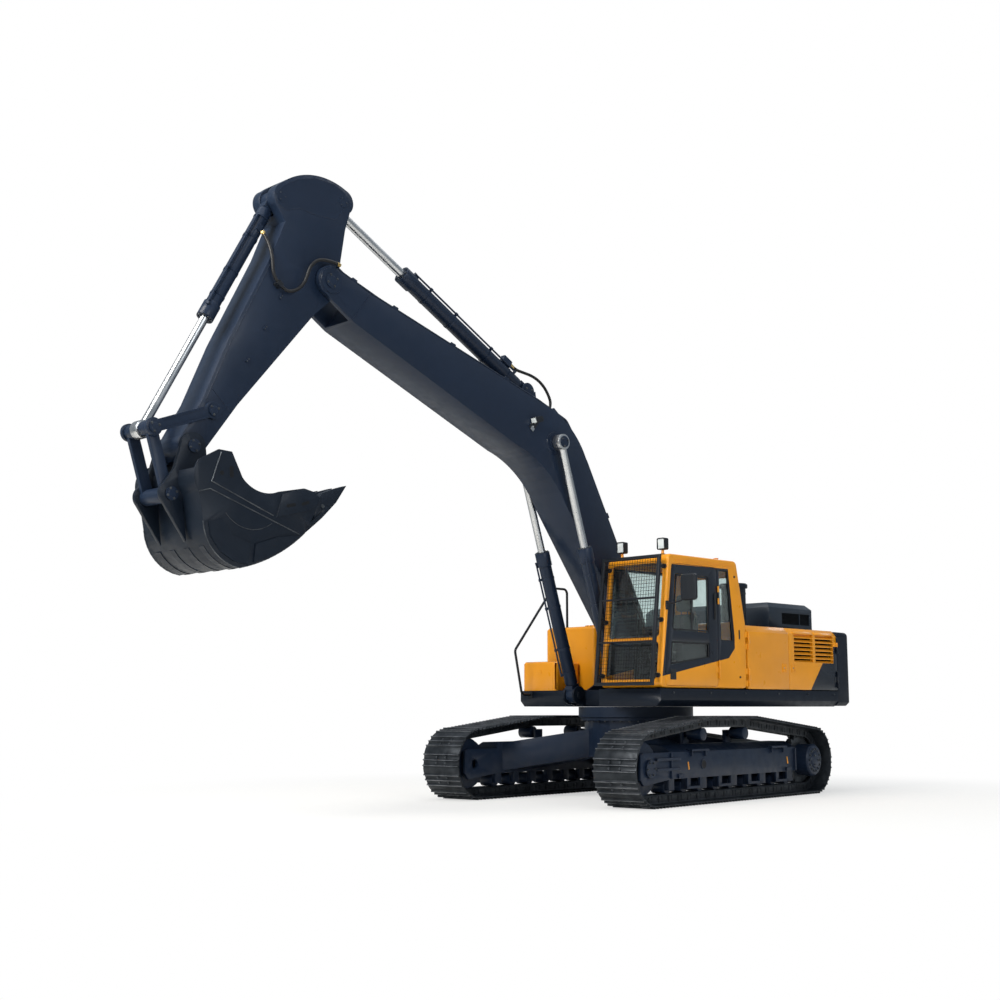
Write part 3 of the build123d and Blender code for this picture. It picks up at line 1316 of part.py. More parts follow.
with BuildPart() as arm:
    extrude(arm_outline.sketch, amount=arm_half, both=True)
    with BuildSketch(arm_plane):
        Circle(arm_boss)
        with Locations((arm_length, 0)):
            Circle(150)
    extrude(amount=arm_half, both=True)
    # closed box between the bosses
    with BuildSketch(arm_plane):
        add(arm_outline.sketch_local)
        offset(amount=-arm_plate, kind=Kind.INTERSECTION, mode=Mode.REPLACE)
        with Locations((0, 0)):
            Circle(125, mode=Mode.SUBTRACT)
        with Locations((tail_fork - arm_plate - 500, 500)):
            Rectangle(1000, 2000, mode=Mode.SUBTRACT)
        with Locations(bucket_cylinder_eye):
            Circle(185 + arm_plate, mode=Mode.SUBTRACT)
        with Locations(rocker_pivot):
            Circle(80, mode=Mode.SUBTRACT)
        with Locations((arm_length, 0)):
            Rectangle(500, 600, mode=Mode.SUBTRACT)
    extrude(amount=arm_half - arm_plate, both=True, mode=Mode.SUBTRACT)
    # the tail is a fork of two closed boxes, round the rod's eye
    with BuildSketch(arm_plane):
        with Locations((tail_fork - 500, 500)):
            Rectangle(1000, 2000)
        with Locations(bucket_cylinder_eye):
            Circle(185)
    extrude(amount=rod_slot, both=True, mode=Mode.SUBTRACT)
    for side in (1, -1):
        with BuildSketch(side_plane(boom_tip, arm_angle, side * (rod_slot + arm_half) / 2)):
            add(arm_outline.sketch_local)
            offset(amount=-arm_plate, kind=Kind.INTERSECTION, mode=Mode.REPLACE)
            with Locations((tail_fork + 1000 - arm_plate, 500)):
                Rectangle(2000, 2000, mode=Mode.SUBTRACT)
            with Locations(arm_rod_eye):
                Circle(110, mode=Mode.SUBTRACT)
        extrude(amount=(arm_half - rod_slot) / 2 - arm_plate, both=True, mode=Mode.SUBTRACT)
    # pins: bucket cylinder foot and rocker pivot
    with BuildSketch(arm_plane):
        with Locations(bucket_cylinder_eye):
            Circle(cylinder_pin_radius)
    extrude(amount=rod_slot + 20, both=True)
    with BuildSketch(arm_plane):
        with Locations(rocker_pivot):
            Circle(cylinder_pin_radius)
    extrude(amount=arm_half + side_play + 50, both=True)
    # bores for the boom tip pin and the bucket pin
    with BuildSketch(arm_plane):
        Circle(arm_pin_radius + eye_clearance)
        with Locations((arm_length, 0)):
            Circle(cylinder_pin_radius + eye_clearance)
    extrude(amount=arm_half + 1, both=True, mode=Mode.SUBTRACT)
write(arm.part, "arm")

with BuildPart() as arm_cylinder_barrel:
    barrel("arm", arm_foot_pin, arm_rod_pin, 0, cylinder_pin_radius)
    # port block on top, where the hose starts
    with BuildSketch(tube_plane(arm_foot_pin, arm_rod_pin, 40)) as port:
        with Locations((470, 130)):
            Rectangle(150, 90)
    extrude(port.sketch, amount=35, both=True)
write(arm_cylinder_barrel.part, "arm_cylinder_barrel")
with BuildPart() as arm_cylinder_rod:
    rod("arm", arm_foot_pin, arm_rod_pin, 0)
write(arm_cylinder_rod.part, "arm_cylinder_rod")
with BuildPart() as bucket_cylinder_barrel:
    barrel("bucket", bucket_cylinder_pin, rod_pin, 0, cylinder_pin_radius)
    with BuildSketch(tube_plane(bucket_cylinder_pin, rod_pin, 80)) as port:
        with Locations((430, 0)):
            Rectangle(80, 60)
    extrude(port.sketch, amount=14, both=True)
write(bucket_cylinder_barrel.part, "bucket_cylinder_barrel")
with BuildPart() as bucket_cylinder_rod:
    rod("bucket", bucket_cylinder_pin, rod_pin, 0)
write(bucket_cylinder_rod.part, "bucket_cylinder_rod")


# ================================================================ hoses
# route points as along, above and to the left of the boom
arm_hose_route = [(3970, 1490, 40), (3860, 1505, 42), (3740, 1575, 46), (3600, 1655, 50), (3450, 1697, 54),
                  (3290, 1685, 58), (manifold_x, 1600, 60), (manifold_x, manifold_z, 60)]

write(hose([on_boom(*point) for point in arm_hose_route], hose_radius), "arm_cylinder_hose")


# ================================================================ bucket linkage
bucket_plane = side_plane(bucket_pin, bucket_angle)
link_eye = (-169.0, 545.0)             # on the bucket
link_pin = on_link(bucket_plane, *link_eye)
rocker_pin = on_link(arm_plane, *rocker_pivot)
rocker_plate = 38.0
rocker_inner = arm_half + side_play
link_plate = 50.0
pin_boss = 92.0
link_head = 77.0               # its boss on the rod pin, clear of the arm when the bucket is open
link_tube = 82.0               # cross tube of the link, on its pin in the bucket


def bar(start, end, y_middle, thickness, waist, start_radius, end_radius):
    """Flat bar with round ends between two pins, in the open part."""
    length, angle = span(start, end)
    with BuildSketch(side_plane(start, angle, y_middle)) as shape:
        Circle(start_radius)
        with Locations((length, 0)):
            Circle(end_radius)
        with Locations((length / 2, 0)):
            Rectangle(length, 2 * waist)
    extrude(shape.sketch, amount=thickness / 2, both=True)


def drill(point, y_middle, reach, radius):
    """Round hole across, in the open part."""
    with BuildSketch(upright(y_middle)) as hole:
        with Locations(point):
            Circle(radius)
    extrude(hole.sketch, amount=reach, both=True, mode=Mode.SUBTRACT)


def peg(point, y_middle, reach, radius):
    """Round pin across, in the open part."""
    with BuildSketch(upright(y_middle)) as pin:
        with Locations(point):
            Circle(radius)
    extrude(pin.sketch, amount=reach, both=True)


link_inner = rod_slot
link_outer = rocker_inner - side_play
with BuildPart() as rocker_arms:
    for side in (1, -1):
        middle = side * (rocker_inner + rocker_plate / 2)
        bar(rocker_pin, rod_pin, middle, rocker_plate, 62, pin_boss, pin_boss)
        drill(rocker_pin, middle, rocker_plate, cylinder_pin_radius + eye_clearance)
        peg(rod_pin, side * (link_inner + rocker_inner + rocker_plate + 12) / 2,
            (rocker_inner + rocker_plate + 12 - link_inner) / 2, cylinder_pin_radius)
write(rocker_arms.part, "rocker_arms")

with BuildPart() as bucket_link:
    for side in (1, -1):
        middle = side * (link_outer + link_inner) / 2
        bar(rod_pin, link_pin, side * (link_outer - link_plate / 2), link_plate, 60, link_head, link_tube)
        with BuildSketch(upright(middle)) as boss:
            with Locations(rod_pin):
                Circle(link_head)
        extrude(boss.sketch, amount=(link_outer - link_inner) / 2, both=True)
        drill(rod_pin, middle, (link_outer - link_inner) / 2 + 1, cylinder_pin_radius + eye_clearance)
    peg(link_pin, 0, link_outer, link_tube)
write(bucket_link.part, "bucket_link")


# ================================================================ bucket
bucket_half = bucket_width / 2
ear_inner = arm_half + side_play
ear_thickness = 46.0
inner_half = bucket_half - bucket_plate
cutter_thickness = 18.0
tooth_count = 5
tooth_width = 96.0

# side outline of the side plates: back, floor, front edge and rim
with BuildSketch(bucket_plane) as bucket_outline:
    with BuildLine():
        Line((110, 45), (-95, 203))
        ThreePointArc((-95, 203), (-128, 330), (-42, 525))
        Line((-42, 525), (58, 800))
        ThreePointArc((58, 800), (245, 1075), (560, 1168))
        ThreePointArc((560, 1168), (960, 950), (1290, 640))
        Line((1290, 640), (1340, 540))
        Line((1340, 540), (1435, 225))
        Line((1435, 225), (1335, 180))
        Line((1335, 180), (1200, 175))
        Line((1200, 175), (896, 288))
        ThreePointArc((896, 288), (650, 345), (437, 259))
        Line((437, 259), (266, 29))
        Line((266, 29), (110, 45))
    make_face()

with BuildSketch(bucket_plane) as lip_outline:
    Polygon((1225, 672), (1290, 640), (1340, 588), (1505, 395), (1472, 366), (1300, 560), align=None)

with BuildPart() as bucket:
    extrude(bucket_outline.sketch, amount=bucket_half, both=True)
    # open inside, between the side plates, behind the mouth
    with BuildSketch(bucket_plane):
        add(bucket_outline.sketch_local)
        offset(amount=-bucket_plate, kind=Kind.INTERSECTION, mode=Mode.REPLACE)
        Polygon((200, 170), (200, -60), (1500, -60), (1420, 300), (1300, 500), (900, 500), align=None)
        Polygon((-300, 386), (-300, 0), (330, 0), (330, 140), align=None, mode=Mode.SUBTRACT)
    extrude(amount=inner_half, both=True, mode=Mode.SUBTRACT)
    # room for the arm above the top plate
    with BuildSketch(bucket_plane):
        Polygon((-300, 362), (-300, -60), (330, -60), (330, 118), align=None)
    extrude(amount=inner_half, both=True, mode=Mode.SUBTRACT)
    extrude(lip_outline.sketch, amount=bucket_half, both=True)
    # ears
    for side in (1, -1):
        with BuildSketch(side_plane(bucket_pin, bucket_angle, side * (ear_inner + ear_thickness / 2))):
            with BuildLine():
                Line((135, -40), (-135, -40))
                Line((-135, -40), (-178, 288))
                Line((-178, 288), (-270, 460))
                ThreePointArc((-270, 460), (-300, 545), (-252, 637))
                Line((-252, 637), (90, 985))
                Line((90, 985), (-20, 600))
                Line((-20, 600), (-80, 330))
                Line((-80, 330), (200, 180))
                Line((200, 180), (135, -40))
            make_face()
            Circle(142)
        extrude(amount=ear_thickness / 2, both=True)
        peg(link_pin, side * (ear_inner + ear_thickness / 2 + 8), ear_thickness / 2 + 8, 60)
    peg(bucket_pin, 0, ear_inner + ear_thickness + 14, cylinder_pin_radius)
    # side cutters, bolted outside the front edges
    for side in (1, -1):
        with BuildSketch(side_plane(bucket_pin, bucket_angle, side * (bucket_half + cutter_thickness / 2))):
            Polygon((940, 302), (1200, 178), (1335, 183), (1412, 250), (1333, 372), (1173, 449), (905, 560),
                    align=None)
        extrude(amount=cutter_thickness / 2, both=True)
write(bucket.part, "bucket")

with BuildPart() as bucket_teeth:
    for index in range(tooth_count):
        y = (index - (tooth_count - 1) / 2) * (bucket_width - tooth_width - 20) / (tooth_count - 1)
        with BuildSketch(side_plane(bucket_pin, bucket_angle, y)) as tooth:
            Polygon((bucket_radius, 0), (1568, 92), (1450, 165), (1400, 262), (1385, 462), (1385, 545),
                    (1494, 424), (1588, 300), (1652, 214), align=None)
            add(lip_outline.sketch_local, mode=Mode.SUBTRACT)
            add(bucket_outline.sketch_local, mode=Mode.SUBTRACT)
        extrude(tooth.sketch, amount=tooth_width / 2, both=True)
write(bucket_teeth.part, "bucket_teeth")
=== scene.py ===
import json
from math import asin, atan2, cos, hypot, pi, radians, sin

import bmesh
import bpy
from mathutils import Matrix, Vector


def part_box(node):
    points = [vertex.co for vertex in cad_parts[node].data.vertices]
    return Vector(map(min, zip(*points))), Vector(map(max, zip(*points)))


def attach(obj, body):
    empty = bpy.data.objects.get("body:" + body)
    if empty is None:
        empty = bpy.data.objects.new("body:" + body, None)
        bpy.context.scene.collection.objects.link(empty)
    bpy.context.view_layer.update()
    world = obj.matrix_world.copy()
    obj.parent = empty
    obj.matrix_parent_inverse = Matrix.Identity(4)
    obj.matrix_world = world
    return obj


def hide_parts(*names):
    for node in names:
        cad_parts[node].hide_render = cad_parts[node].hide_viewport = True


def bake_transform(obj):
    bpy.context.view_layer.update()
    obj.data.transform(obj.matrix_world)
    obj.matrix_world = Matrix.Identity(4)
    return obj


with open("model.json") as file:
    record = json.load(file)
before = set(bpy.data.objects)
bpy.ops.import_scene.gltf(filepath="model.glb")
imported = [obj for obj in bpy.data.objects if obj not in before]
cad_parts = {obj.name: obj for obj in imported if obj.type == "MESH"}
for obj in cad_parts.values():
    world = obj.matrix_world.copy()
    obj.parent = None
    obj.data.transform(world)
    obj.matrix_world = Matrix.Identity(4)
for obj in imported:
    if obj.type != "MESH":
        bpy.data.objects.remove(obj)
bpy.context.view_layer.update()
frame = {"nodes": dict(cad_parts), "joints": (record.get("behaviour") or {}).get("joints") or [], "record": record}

scene = bpy.context.scene
nodes = frame["nodes"]
pins = {joint["name"]: joint["pos_m"] for joint in frame["joints"] if "pos_m" in joint}

# sizes that the CAD model uses too, in metres
parked = Matrix.Rotation(radians(6.0), 4, "Z")
boom_angle, arm_angle, bucket_angle = 36.2, -50.9, -171.8
half_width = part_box("revolving_frame")[1][1]
cab_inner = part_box("cab_shell")[0][1]
cab_floor, cab_top = 1.412, 3.070
cab_front, cab_rake = 1.300, 0.190
cab_middle = (cab_inner + half_width) / 2
boom_half, arm_half, bucket_half = 0.270, 0.205, 0.560
cylinder_side = 0.376
track_y, shoe_half = 1.340, 0.300
axle_x, axle_z = 2.015, 0.455
pitch_radius, carrier_lift = 0.366, 0.155
carrier_x = (0.650, -0.390)
plate_outside, shoe_count = 0.063, 48
frame_face = track_y + 0.200
grease_x, grease_z = 0.817, 0.478
stack_x, stack_y = -0.960, 0.960


# ================================================================ camera, floor and light
def look(yaw, pitch):
    """Direction that a heading and a rise give."""
    return Vector((cos(pitch) * cos(yaw), cos(pitch) * sin(yaw), sin(pitch)))


def placed(name, data):
    """Object that shows the data, linked into the scene."""
    made = bpy.data.objects.new(name, data)
    scene.collection.objects.link(made)
    return made


def make_camera():
    data = bpy.data.cameras.new("camera")
    camera = placed("camera", data)
    camera.location = (14.95, 12.50, 1.15)
    camera.rotation_euler = look(radians(225.30), radians(8.38)).to_track_quat("-Z", "Y").to_euler()
    data.sensor_width = 36.0
    data.lens = 51.1
    data.clip_end = 500.0
    scene.camera = camera


def math_node(tree, operation, first, second=None, third=None):
    """Math node whose inputs are sockets or numbers; returns its output."""
    node = tree.nodes.new("ShaderNodeMath")
    node.operation = operation
    for socket, value in zip(node.inputs, (first, second, third)):
        if value is None:
            continue
        if isinstance(value, (int, float)):
            socket.default_value = value
        else:
            tree.links.new(value, socket)
    return node.outputs[0]


def mixed_shaders(tree, factor, first, second, output):
    """Blend of two shaders by a factor socket, sent to an output node."""
    mix = tree.nodes.new("ShaderNodeMixShader")
    for socket, value in zip(mix.inputs, (factor, first.outputs[0], second.outputs[0])):
        tree.links.new(value, socket)
    tree.links.new(mix.outputs[0], output.inputs["Surface"])


def make_floor():
    """Pale floor that keeps the shadow near the machine and fades into the white backdrop."""
    bpy.ops.mesh.primitive_plane_add(size=400.0, location=(0, 0, 0))
    floor = bpy.context.object
    floor.name = "floor"
    material = bpy.data.materials.new("floor_pale")
    material.use_nodes = True
    tree = material.node_tree
    shader = tree.nodes["Principled BSDF"]
    shader.inputs["Base Color"].default_value = (0.84, 0.82, 0.78, 1)
    shader.inputs["Roughness"].default_value = 0.95
    shader.inputs["Specular IOR Level"].default_value = 0.0
    white = tree.nodes.new("ShaderNodeEmission")
    white.inputs["Color"].default_value = (1, 1, 1, 1)
    length = tree.nodes.new("ShaderNodeVectorMath")
    length.operation = "LENGTH"
    tree.links.new(own_space(tree), length.inputs[0])
    fade = tree.nodes.new("ShaderNodeMapRange")
    fade.interpolation_type = "SMOOTHSTEP"
    fade.inputs["From Min"].default_value = 3.2
    fade.inputs["From Max"].default_value = 8.5
    fade.inputs["To Min"].default_value = 0.55
    tree.links.new(length.outputs["Value"], fade.inputs["Value"])
    path = tree.nodes.new("ShaderNodeLightPath")
    seen = math_node(tree, "MULTIPLY", fade.outputs[0], path.outputs["Is Camera Ray"])
    mixed_shaders(tree, seen, shader, white, tree.nodes["Material Output"])
    floor.data.materials.append(material)


def area_light(name, location, target, size, watts, colour=(1, 1, 1)):
    data = bpy.data.lights.new(name, "AREA")
    data.shape = "RECTANGLE"
    data.size, data.size_y = size
    data.energy = watts
    data.color = colour
    light = placed(name, data)
    light.location = location
    light.rotation_euler = (Vector(target) - Vector(location)).to_track_quat("-Z", "Y").to_euler()


def make_world():
    """Soft even light, with a white backdrop for the camera and a dimmer sky in reflections."""
    world = bpy.data.worlds.new("studio")
    scene.world = world
    world.use_nodes = True
    tree = world.node_tree
    tree.nodes.clear()
    soft, backdrop = (tree.nodes.new("ShaderNodeBackground") for _ in range(2))
    soft.inputs["Color"].default_value = (0.80, 0.90, 1.0, 1)
    soft.inputs["Strength"].default_value = 0.36
    backdrop.inputs["Color"].default_value = (1, 1, 1, 1)
    path = tree.nodes.new("ShaderNodeLightPath")
    seen = math_node(tree, "MAXIMUM", path.outputs["Is Camera Ray"], path.outputs["Is Transmission Ray"])
    mixed_shaders(tree, seen, soft, backdrop, tree.nodes.new("ShaderNodeOutputWorld"))


# ================================================================ materials
def shader_tree(name, **values):
    """New material; the values are set on its shader's own sockets."""
    material = bpy.data.materials.new(name)
    material.use_nodes = True
    tree = material.node_tree
    shader = tree.nodes["Principled BSDF"]
    for socket, value in values.items():
        shader.inputs[socket.replace("_", " ")].default_value = value
    return material, tree, shader


def own_space(tree):
    """Socket of the object's own coordinates."""
    return tree.nodes.new("ShaderNodeTexCoord").outputs["Object"]


def waves(tree, direction, scale):
    """Even bands across the object's own space."""
    node = tree.nodes.new("ShaderNodeTexWave")
    node.bands_direction = direction
    node.inputs["Scale"].default_value = scale
    tree.links.new(own_space(tree), node.inputs["Vector"])
    return node.outputs["Fac"]


def noise(tree, scale, detail=3.0, stretch=None):
    """Noise over the object's own space, stretched if asked."""
    place = own_space(tree)
    if stretch:
        mapping = tree.nodes.new("ShaderNodeMapping")
        mapping.inputs["Scale"].default_value = stretch
        tree.links.new(place, mapping.inputs["Vector"])
        place = mapping.outputs[0]
    node = tree.nodes.new("ShaderNodeTexNoise")
    node.inputs["Scale"].default_value = scale
    node.inputs["Detail"].default_value = detail
    tree.links.new(place, node.inputs["Vector"])
    return node.outputs["Fac"]


def spread(tree, value, low, high, from_low=0.3, from_high=0.7):
    """Map a noise value onto a range."""
    node = tree.nodes.new("ShaderNodeMapRange")
    node.inputs["From Min"].default_value = from_low
    node.inputs["From Max"].default_value = from_high
    node.inputs["To Min"].default_value = low
    node.inputs["To Max"].default_value = high
    tree.links.new(value, node.inputs["Value"])
    return node.outputs[0]


def mixed(tree, factor, first, second):
    """Colour between two colours or colour sockets."""
    node = tree.nodes.new("ShaderNodeMix")
    node.data_type = "RGBA"
    tree.links.new(factor, node.inputs["Factor"])
    for socket, value in ((node.inputs[6], first), (node.inputs[7], second)):
        if isinstance(value, tuple):
            socket.default_value = (*value, 1)
        else:
            tree.links.new(value, socket)
    return node.outputs[2]


def shade(colour, factor):
    """Colour made darker or lighter, up to 1."""
    return tuple(min(1.0, factor * channel) for channel in colour)


def clouded(tree, scale, detail, dark, light):
    """Colour that drifts between two tones."""
    return mixed(tree, spread(tree, noise(tree, scale, detail), 0.0, 1.0), dark, light)


def set_colour_and_gloss(tree, shader, colour, gloss):
    tree.links.new(colour, shader.inputs["Base Color"])
    tree.links.new(gloss, shader.inputs["Roughness"])


def add_bump(tree, shader, height, strength, distance):
    node = tree.nodes.new("ShaderNodeBump")
    node.inputs["Strength"].default_value = strength
    node.inputs["Distance"].default_value = distance
    tree.links.new(height, node.inputs["Height"])
    tree.links.new(node.outputs[0], shader.inputs["Normal"])


def position(tree):
    """x, y and z sockets of the rest position."""
    node = tree.nodes.new("ShaderNodeSeparateXYZ")
    tree.links.new(own_space(tree), node.inputs[0])
    return node.outputs


def inside(tree, corners):
    """1 inside a convex outline given as x, z corners, anticlockwise with x to the right."""
    x, _, z = position(tree)
    result = None
    for (x_0, z_0), (x_1, z_1) in zip(corners, corners[1:] + corners[:1]):
        # left of the edge: (x_1 - x_0) * (z - z_0) - (z_1 - z_0) * (x - x_0) > 0
        rise = math_node(tree, "MULTIPLY", z, x_1 - x_0)
        side = math_node(tree, "MULTIPLY_ADD", x, z_0 - z_1, rise)
        limit = (x_1 - x_0) * z_0 - (z_1 - z_0) * x_0
        edge = math_node(tree, "GREATER_THAN", side, limit)
        result = edge if result is None else math_node(tree, "MULTIPLY", result, edge)
    return result


def make_paint(name, colour, roughness=0.34, specular=0.3, coat=0.2, zones=(), second=(0, 0, 0)):
    """Sprayed paint: slight cloudiness, orange peel, dust low down, and a second colour in zones."""
    material, tree, shader = shader_tree(name, Specular_IOR_Level=specular, Coat_Weight=coat,
                                         Coat_Roughness=0.12)
    base = clouded(tree, 1.7, 4.0, shade(colour, 0.93), shade(colour, 1.05))
    if zones:
        dark = inside(tree, zones[0])
        for zone in zones[1:]:
            dark = math_node(tree, "MAXIMUM", dark, inside(tree, zone))
        base = mixed(tree, dark, base, second)
    _, _, z = position(tree)
    low = spread(tree, z, 0.14, 0.0, 0.05, 1.05)
    dust = math_node(tree, "MULTIPLY", low, spread(tree, noise(tree, 6.0, 6.0), 0.0, 1.0, 0.42, 0.72))
    base = mixed(tree, dust, base, (0.10, 0.085, 0.065))
    gloss = spread(tree, noise(tree, 9.0, 5.0), roughness - 0.05, roughness + 0.09)
    set_colour_and_gloss(tree, shader, base, gloss)
    add_bump(tree, shader, noise(tree, 240.0, 2.0), 0.12, 0.0006)
    return material


def make_metal(name, dark, light, metallic, roughness, stretch=None, scale=7.0, bump=0.25):
    """Bare or lightly painted steel: two tones, uneven gloss and a rolled grain."""
    material, tree, shader = shader_tree(name, Metallic=metallic)
    base = mixed(tree, spread(tree, noise(tree, scale, 6.0, stretch), 0.0, 1.0, 0.38, 0.68), dark, light)
    gloss = spread(tree, noise(tree, scale * 3, 5.0, stretch), roughness - 0.08, roughness + 0.14)
    set_colour_and_gloss(tree, shader, base, gloss)
    add_bump(tree, shader, noise(tree, 130.0, 3.0), bump, 0.0008)
    return material


def make_glass(name, tint):
    """Tinted safety glass with faint streaks."""
    material, tree, shader = shader_tree(name, Transmission_Weight=1.0, IOR=1.45,
                                         Specular_IOR_Level=0.5)
    base = clouded(tree, 2.2, 3.0, tint, shade(tint, 0.85))
    gloss = spread(tree, noise(tree, 4.0, 5.0, (1, 1, 0.2)), 0.0, 0.035)
    set_colour_and_gloss(tree, shader, base, gloss)
    return material


def make_rubber(name, colour, roughness, grain):
    """Rubber or moulded plastic with a fine grain."""
    material, tree, shader = shader_tree(name, Specular_IOR_Level=0.35)
    base = clouded(tree, 14.0, 4.0, colour, shade(colour, 1.35))
    gloss = spread(tree, noise(tree, 40.0, 3.0), roughness - 0.06, roughness + 0.1)
    set_colour_and_gloss(tree, shader, base, gloss)
    add_bump(tree, shader, noise(tree, grain, 2.0), 0.35, 0.0005)
    return material


def make_fabric(name, colour):
    """Woven seat cloth: crossed threads in the bump, a soft sheen."""
    material, tree, shader = shader_tree(name, Roughness=0.92, Specular_IOR_Level=0.15, Sheen_Weight=0.35,
                                         Sheen_Roughness=0.5)
    weave = math_node(tree, "MAXIMUM", waves(tree, "X", 90.0), waves(tree, "Z", 90.0))
    base = mixed(tree, weave, shade(colour, 0.6), colour)
    tree.links.new(base, shader.inputs["Base Color"])
    add_bump(tree, shader, weave, 0.5, 0.001)
    return material


def make_lens(name):
    """Pale fluted lamp lens."""
    material, tree, shader = shader_tree(name, Coat_Weight=0.6, Specular_IOR_Level=0.6)
    flutes = waves(tree, "Z", 22.0)
    base = mixed(tree, flutes, (0.55, 0.60, 0.60), (0.86, 0.90, 0.90))
    set_colour_and_gloss(tree, shader, base, spread(tree, noise(tree, 30.0), 0.10, 0.2))
    add_bump(tree, shader, flutes, 0.4, 0.001)
    return material


navy_dark = (0.0060, 0.0100, 0.0185)
amber = (0.83, 0.318, 0.010)
# window band of the cab, and the dark corner of the rear doors, as x, z outlines
cab_band = [(1.262, 1.55), (1.048, 2.940), (-0.121, 2.955), (-0.235, 2.09), (-0.235, 1.93), (-0.10, 1.80)]
rear_corner = [(-1.970, 1.405), (-2.290, 1.786), (-2.700, 1.786), (-2.700, 1.405)]
rear_strip = [(-2.562, 1.780), (-2.562, 2.020), (-2.700, 2.020), (-2.700, 1.780)]

palette = {name: make(name, *values) for name, make, *values in (
    ("cab_amber", make_paint, amber, 0.32, 0.35, 0.3),
    ("frame_navy", make_paint, (0.0100, 0.0190, 0.0400), 0.38, 0.22, 0.08),
    ("bucket_navy", make_paint, (0.0055, 0.0100, 0.0185), 0.42, 0.20, 0.05),
    ("body_grey", make_paint, navy_dark, 0.40, 0.18, 0.05),
    ("track_steel", make_metal, (0.012, 0.016, 0.021), (0.036, 0.042, 0.050), 0.55, 0.44),
    ("rod_chrome", make_metal, (0.50, 0.51, 0.52), (0.60, 0.61, 0.62), 1.0, 0.24, None, 1.2, 0.0),
    ("machined_steel", make_metal, (0.045, 0.052, 0.062), (0.10, 0.11, 0.12), 0.7, 0.42),
    ("engine_iron", make_metal, (0.02, 0.02, 0.02), (0.05, 0.048, 0.045), 0.4, 0.6),
    ("cab_glazing", make_glass, (0.74, 0.83, 0.82)),
    ("seat_fabric", make_fabric, (0.035, 0.048, 0.044)),
    ("console_plastic", make_rubber, (0.016, 0.017, 0.019), 0.55, 260.0),
    ("guard_black", make_paint, (0.010, 0.0125, 0.017), 0.42, 0.25, 0.1),
)}
worn_steel = make_metal("worn_steel", (0.13, 0.14, 0.155), (0.27, 0.28, 0.30), 0.85, 0.36)
cab_paint = make_paint("cab_two_tone", amber, 0.32, 0.35, 0.3, [cab_band], navy_dark)
door_paint = make_paint("rear_door_two_tone", amber, 0.32, 0.35, 0.3, [rear_corner, rear_strip], navy_dark)
# the hood: the body's navy painted lighter and bluer, a painted reflection of the sky on its top
hood_paint_painted_sky_reflection = make_paint("hood_slate_painted_reflection", (0.021, 0.030, 0.044), 0.38, 0.28, 0.15)
hose_rubber = make_rubber("hose_rubber", (0.0055, 0.0058, 0.0068), 0.45, 320.0)
brass = make_metal("ferrule_brass", (0.42, 0.30, 0.11), (0.62, 0.47, 0.20), 0.9, 0.34)
mesh_black = make_paint("mesh_black", (0.006, 0.007, 0.009), 0.5, 0.2, 0.0)
lens_white = make_lens("lens_white")
mirror_glass = make_metal("mirror_glass", (0.50, 0.54, 0.57), (0.62, 0.66, 0.69), 1.0, 0.10, None, 2.0, 0.0)

own_finish = {
    "cab_shell": cab_paint, "cab_door": cab_paint, "left_rear_door": door_paint,
    # the engine hood takes the navy painted lighter, a painted sky reflection
    "right_pump_door": door_paint, "engine_hood": hood_paint_painted_sky_reflection,
}
# edge rounding of the CAD nodes, metres; pieces not named stay as they are
edge_rounding = {node: width for width, names in (
    (0.002, "boom_pipes"),
    (0.0025, "track_left track_right"),
    (0.003, "left_front_door left_rear_door right_pump_door machinery_deck front_guard work_lamps"),
    (0.003, "boom_cylinder_rods arm_cylinder_rod bucket_cylinder_rod"),
    (0.004, "cab_shell cab_door cab_mirror intake_stack drive_sprockets boom_lamp travel_levers"),
    (0.004, "boom_cylinder_barrels arm_cylinder_barrel bucket_cylinder_barrel"),
    (0.005, "bucket bucket_teeth bucket_link rocker_arms tool_box"),
    (0.006, "boom arm revolving_frame fuel_tank hydraulic_tank front_idlers lower_rollers carrier_rollers"),
    (0.008, "track_frame_left track_frame_right car_body final_drives control_consoles"),
    (0.010, "counterweight"),
    (0.012, "engine_block"),
    (0.014, "engine_hood"),
) for node in names.split()}


def finish_node(row):
    """Material and rounded edges of one CAD node; its vertices stay where they are."""
    node = nodes[row["node"]]
    node.data.materials.clear()
    node.data.materials.append(own_finish.get(row["node"], palette[row["material_slot"]]))
    weld = node.modifiers.new("weld", "WELD")
    weld.merge_threshold = 0.00002
    width = edge_rounding.get(row["node"])
    if width:
        node.data.shade_smooth()
        bevel = node.modifiers.new("round", "BEVEL")
        bevel.width = width
        bevel.segments = 2
        bevel.limit_method = "ANGLE"
        bevel.angle_limit = radians(32)
        bevel.harden_normals = True


for row in frame["record"]["subparts"]:
    finish_node(row)


# ================================================================ mesh helpers
def mesh_object(name, mesh, material):
    """Finished object from a bmesh, which no body carries yet."""
    data = bpy.data.meshes.new(name)
    mesh.to_mesh(data)
    mesh.free()
    data.materials.append(material)
    return placed(name, data)


def piece(name, body, slot, mesh, material=None):
    """Finished object from a bmesh, riding on a body, in its slot's material or another."""
    made = mesh_object(name, mesh, material or palette[slot])
    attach(made, body)
    return made


def between(start, end):
    """Matrix whose z runs from start to end, at the middle, and the length."""
    start, end = Vector(start), Vector(end)
    turn = (end - start).to_track_quat("Z", "Y").to_matrix().to_4x4()
    return Matrix.Translation((start + end) / 2) @ turn, (end - start).length


def rod(mesh, start, end, radius, sides=16, radius_end=None):
    """Cylinder or cone frustum between two points."""
    place, length = between(start, end)
    bmesh.ops.create_cone(mesh, cap_ends=True, segments=sides, radius1=radius,
                          radius2=radius if radius_end is None else radius_end, depth=length, matrix=place)


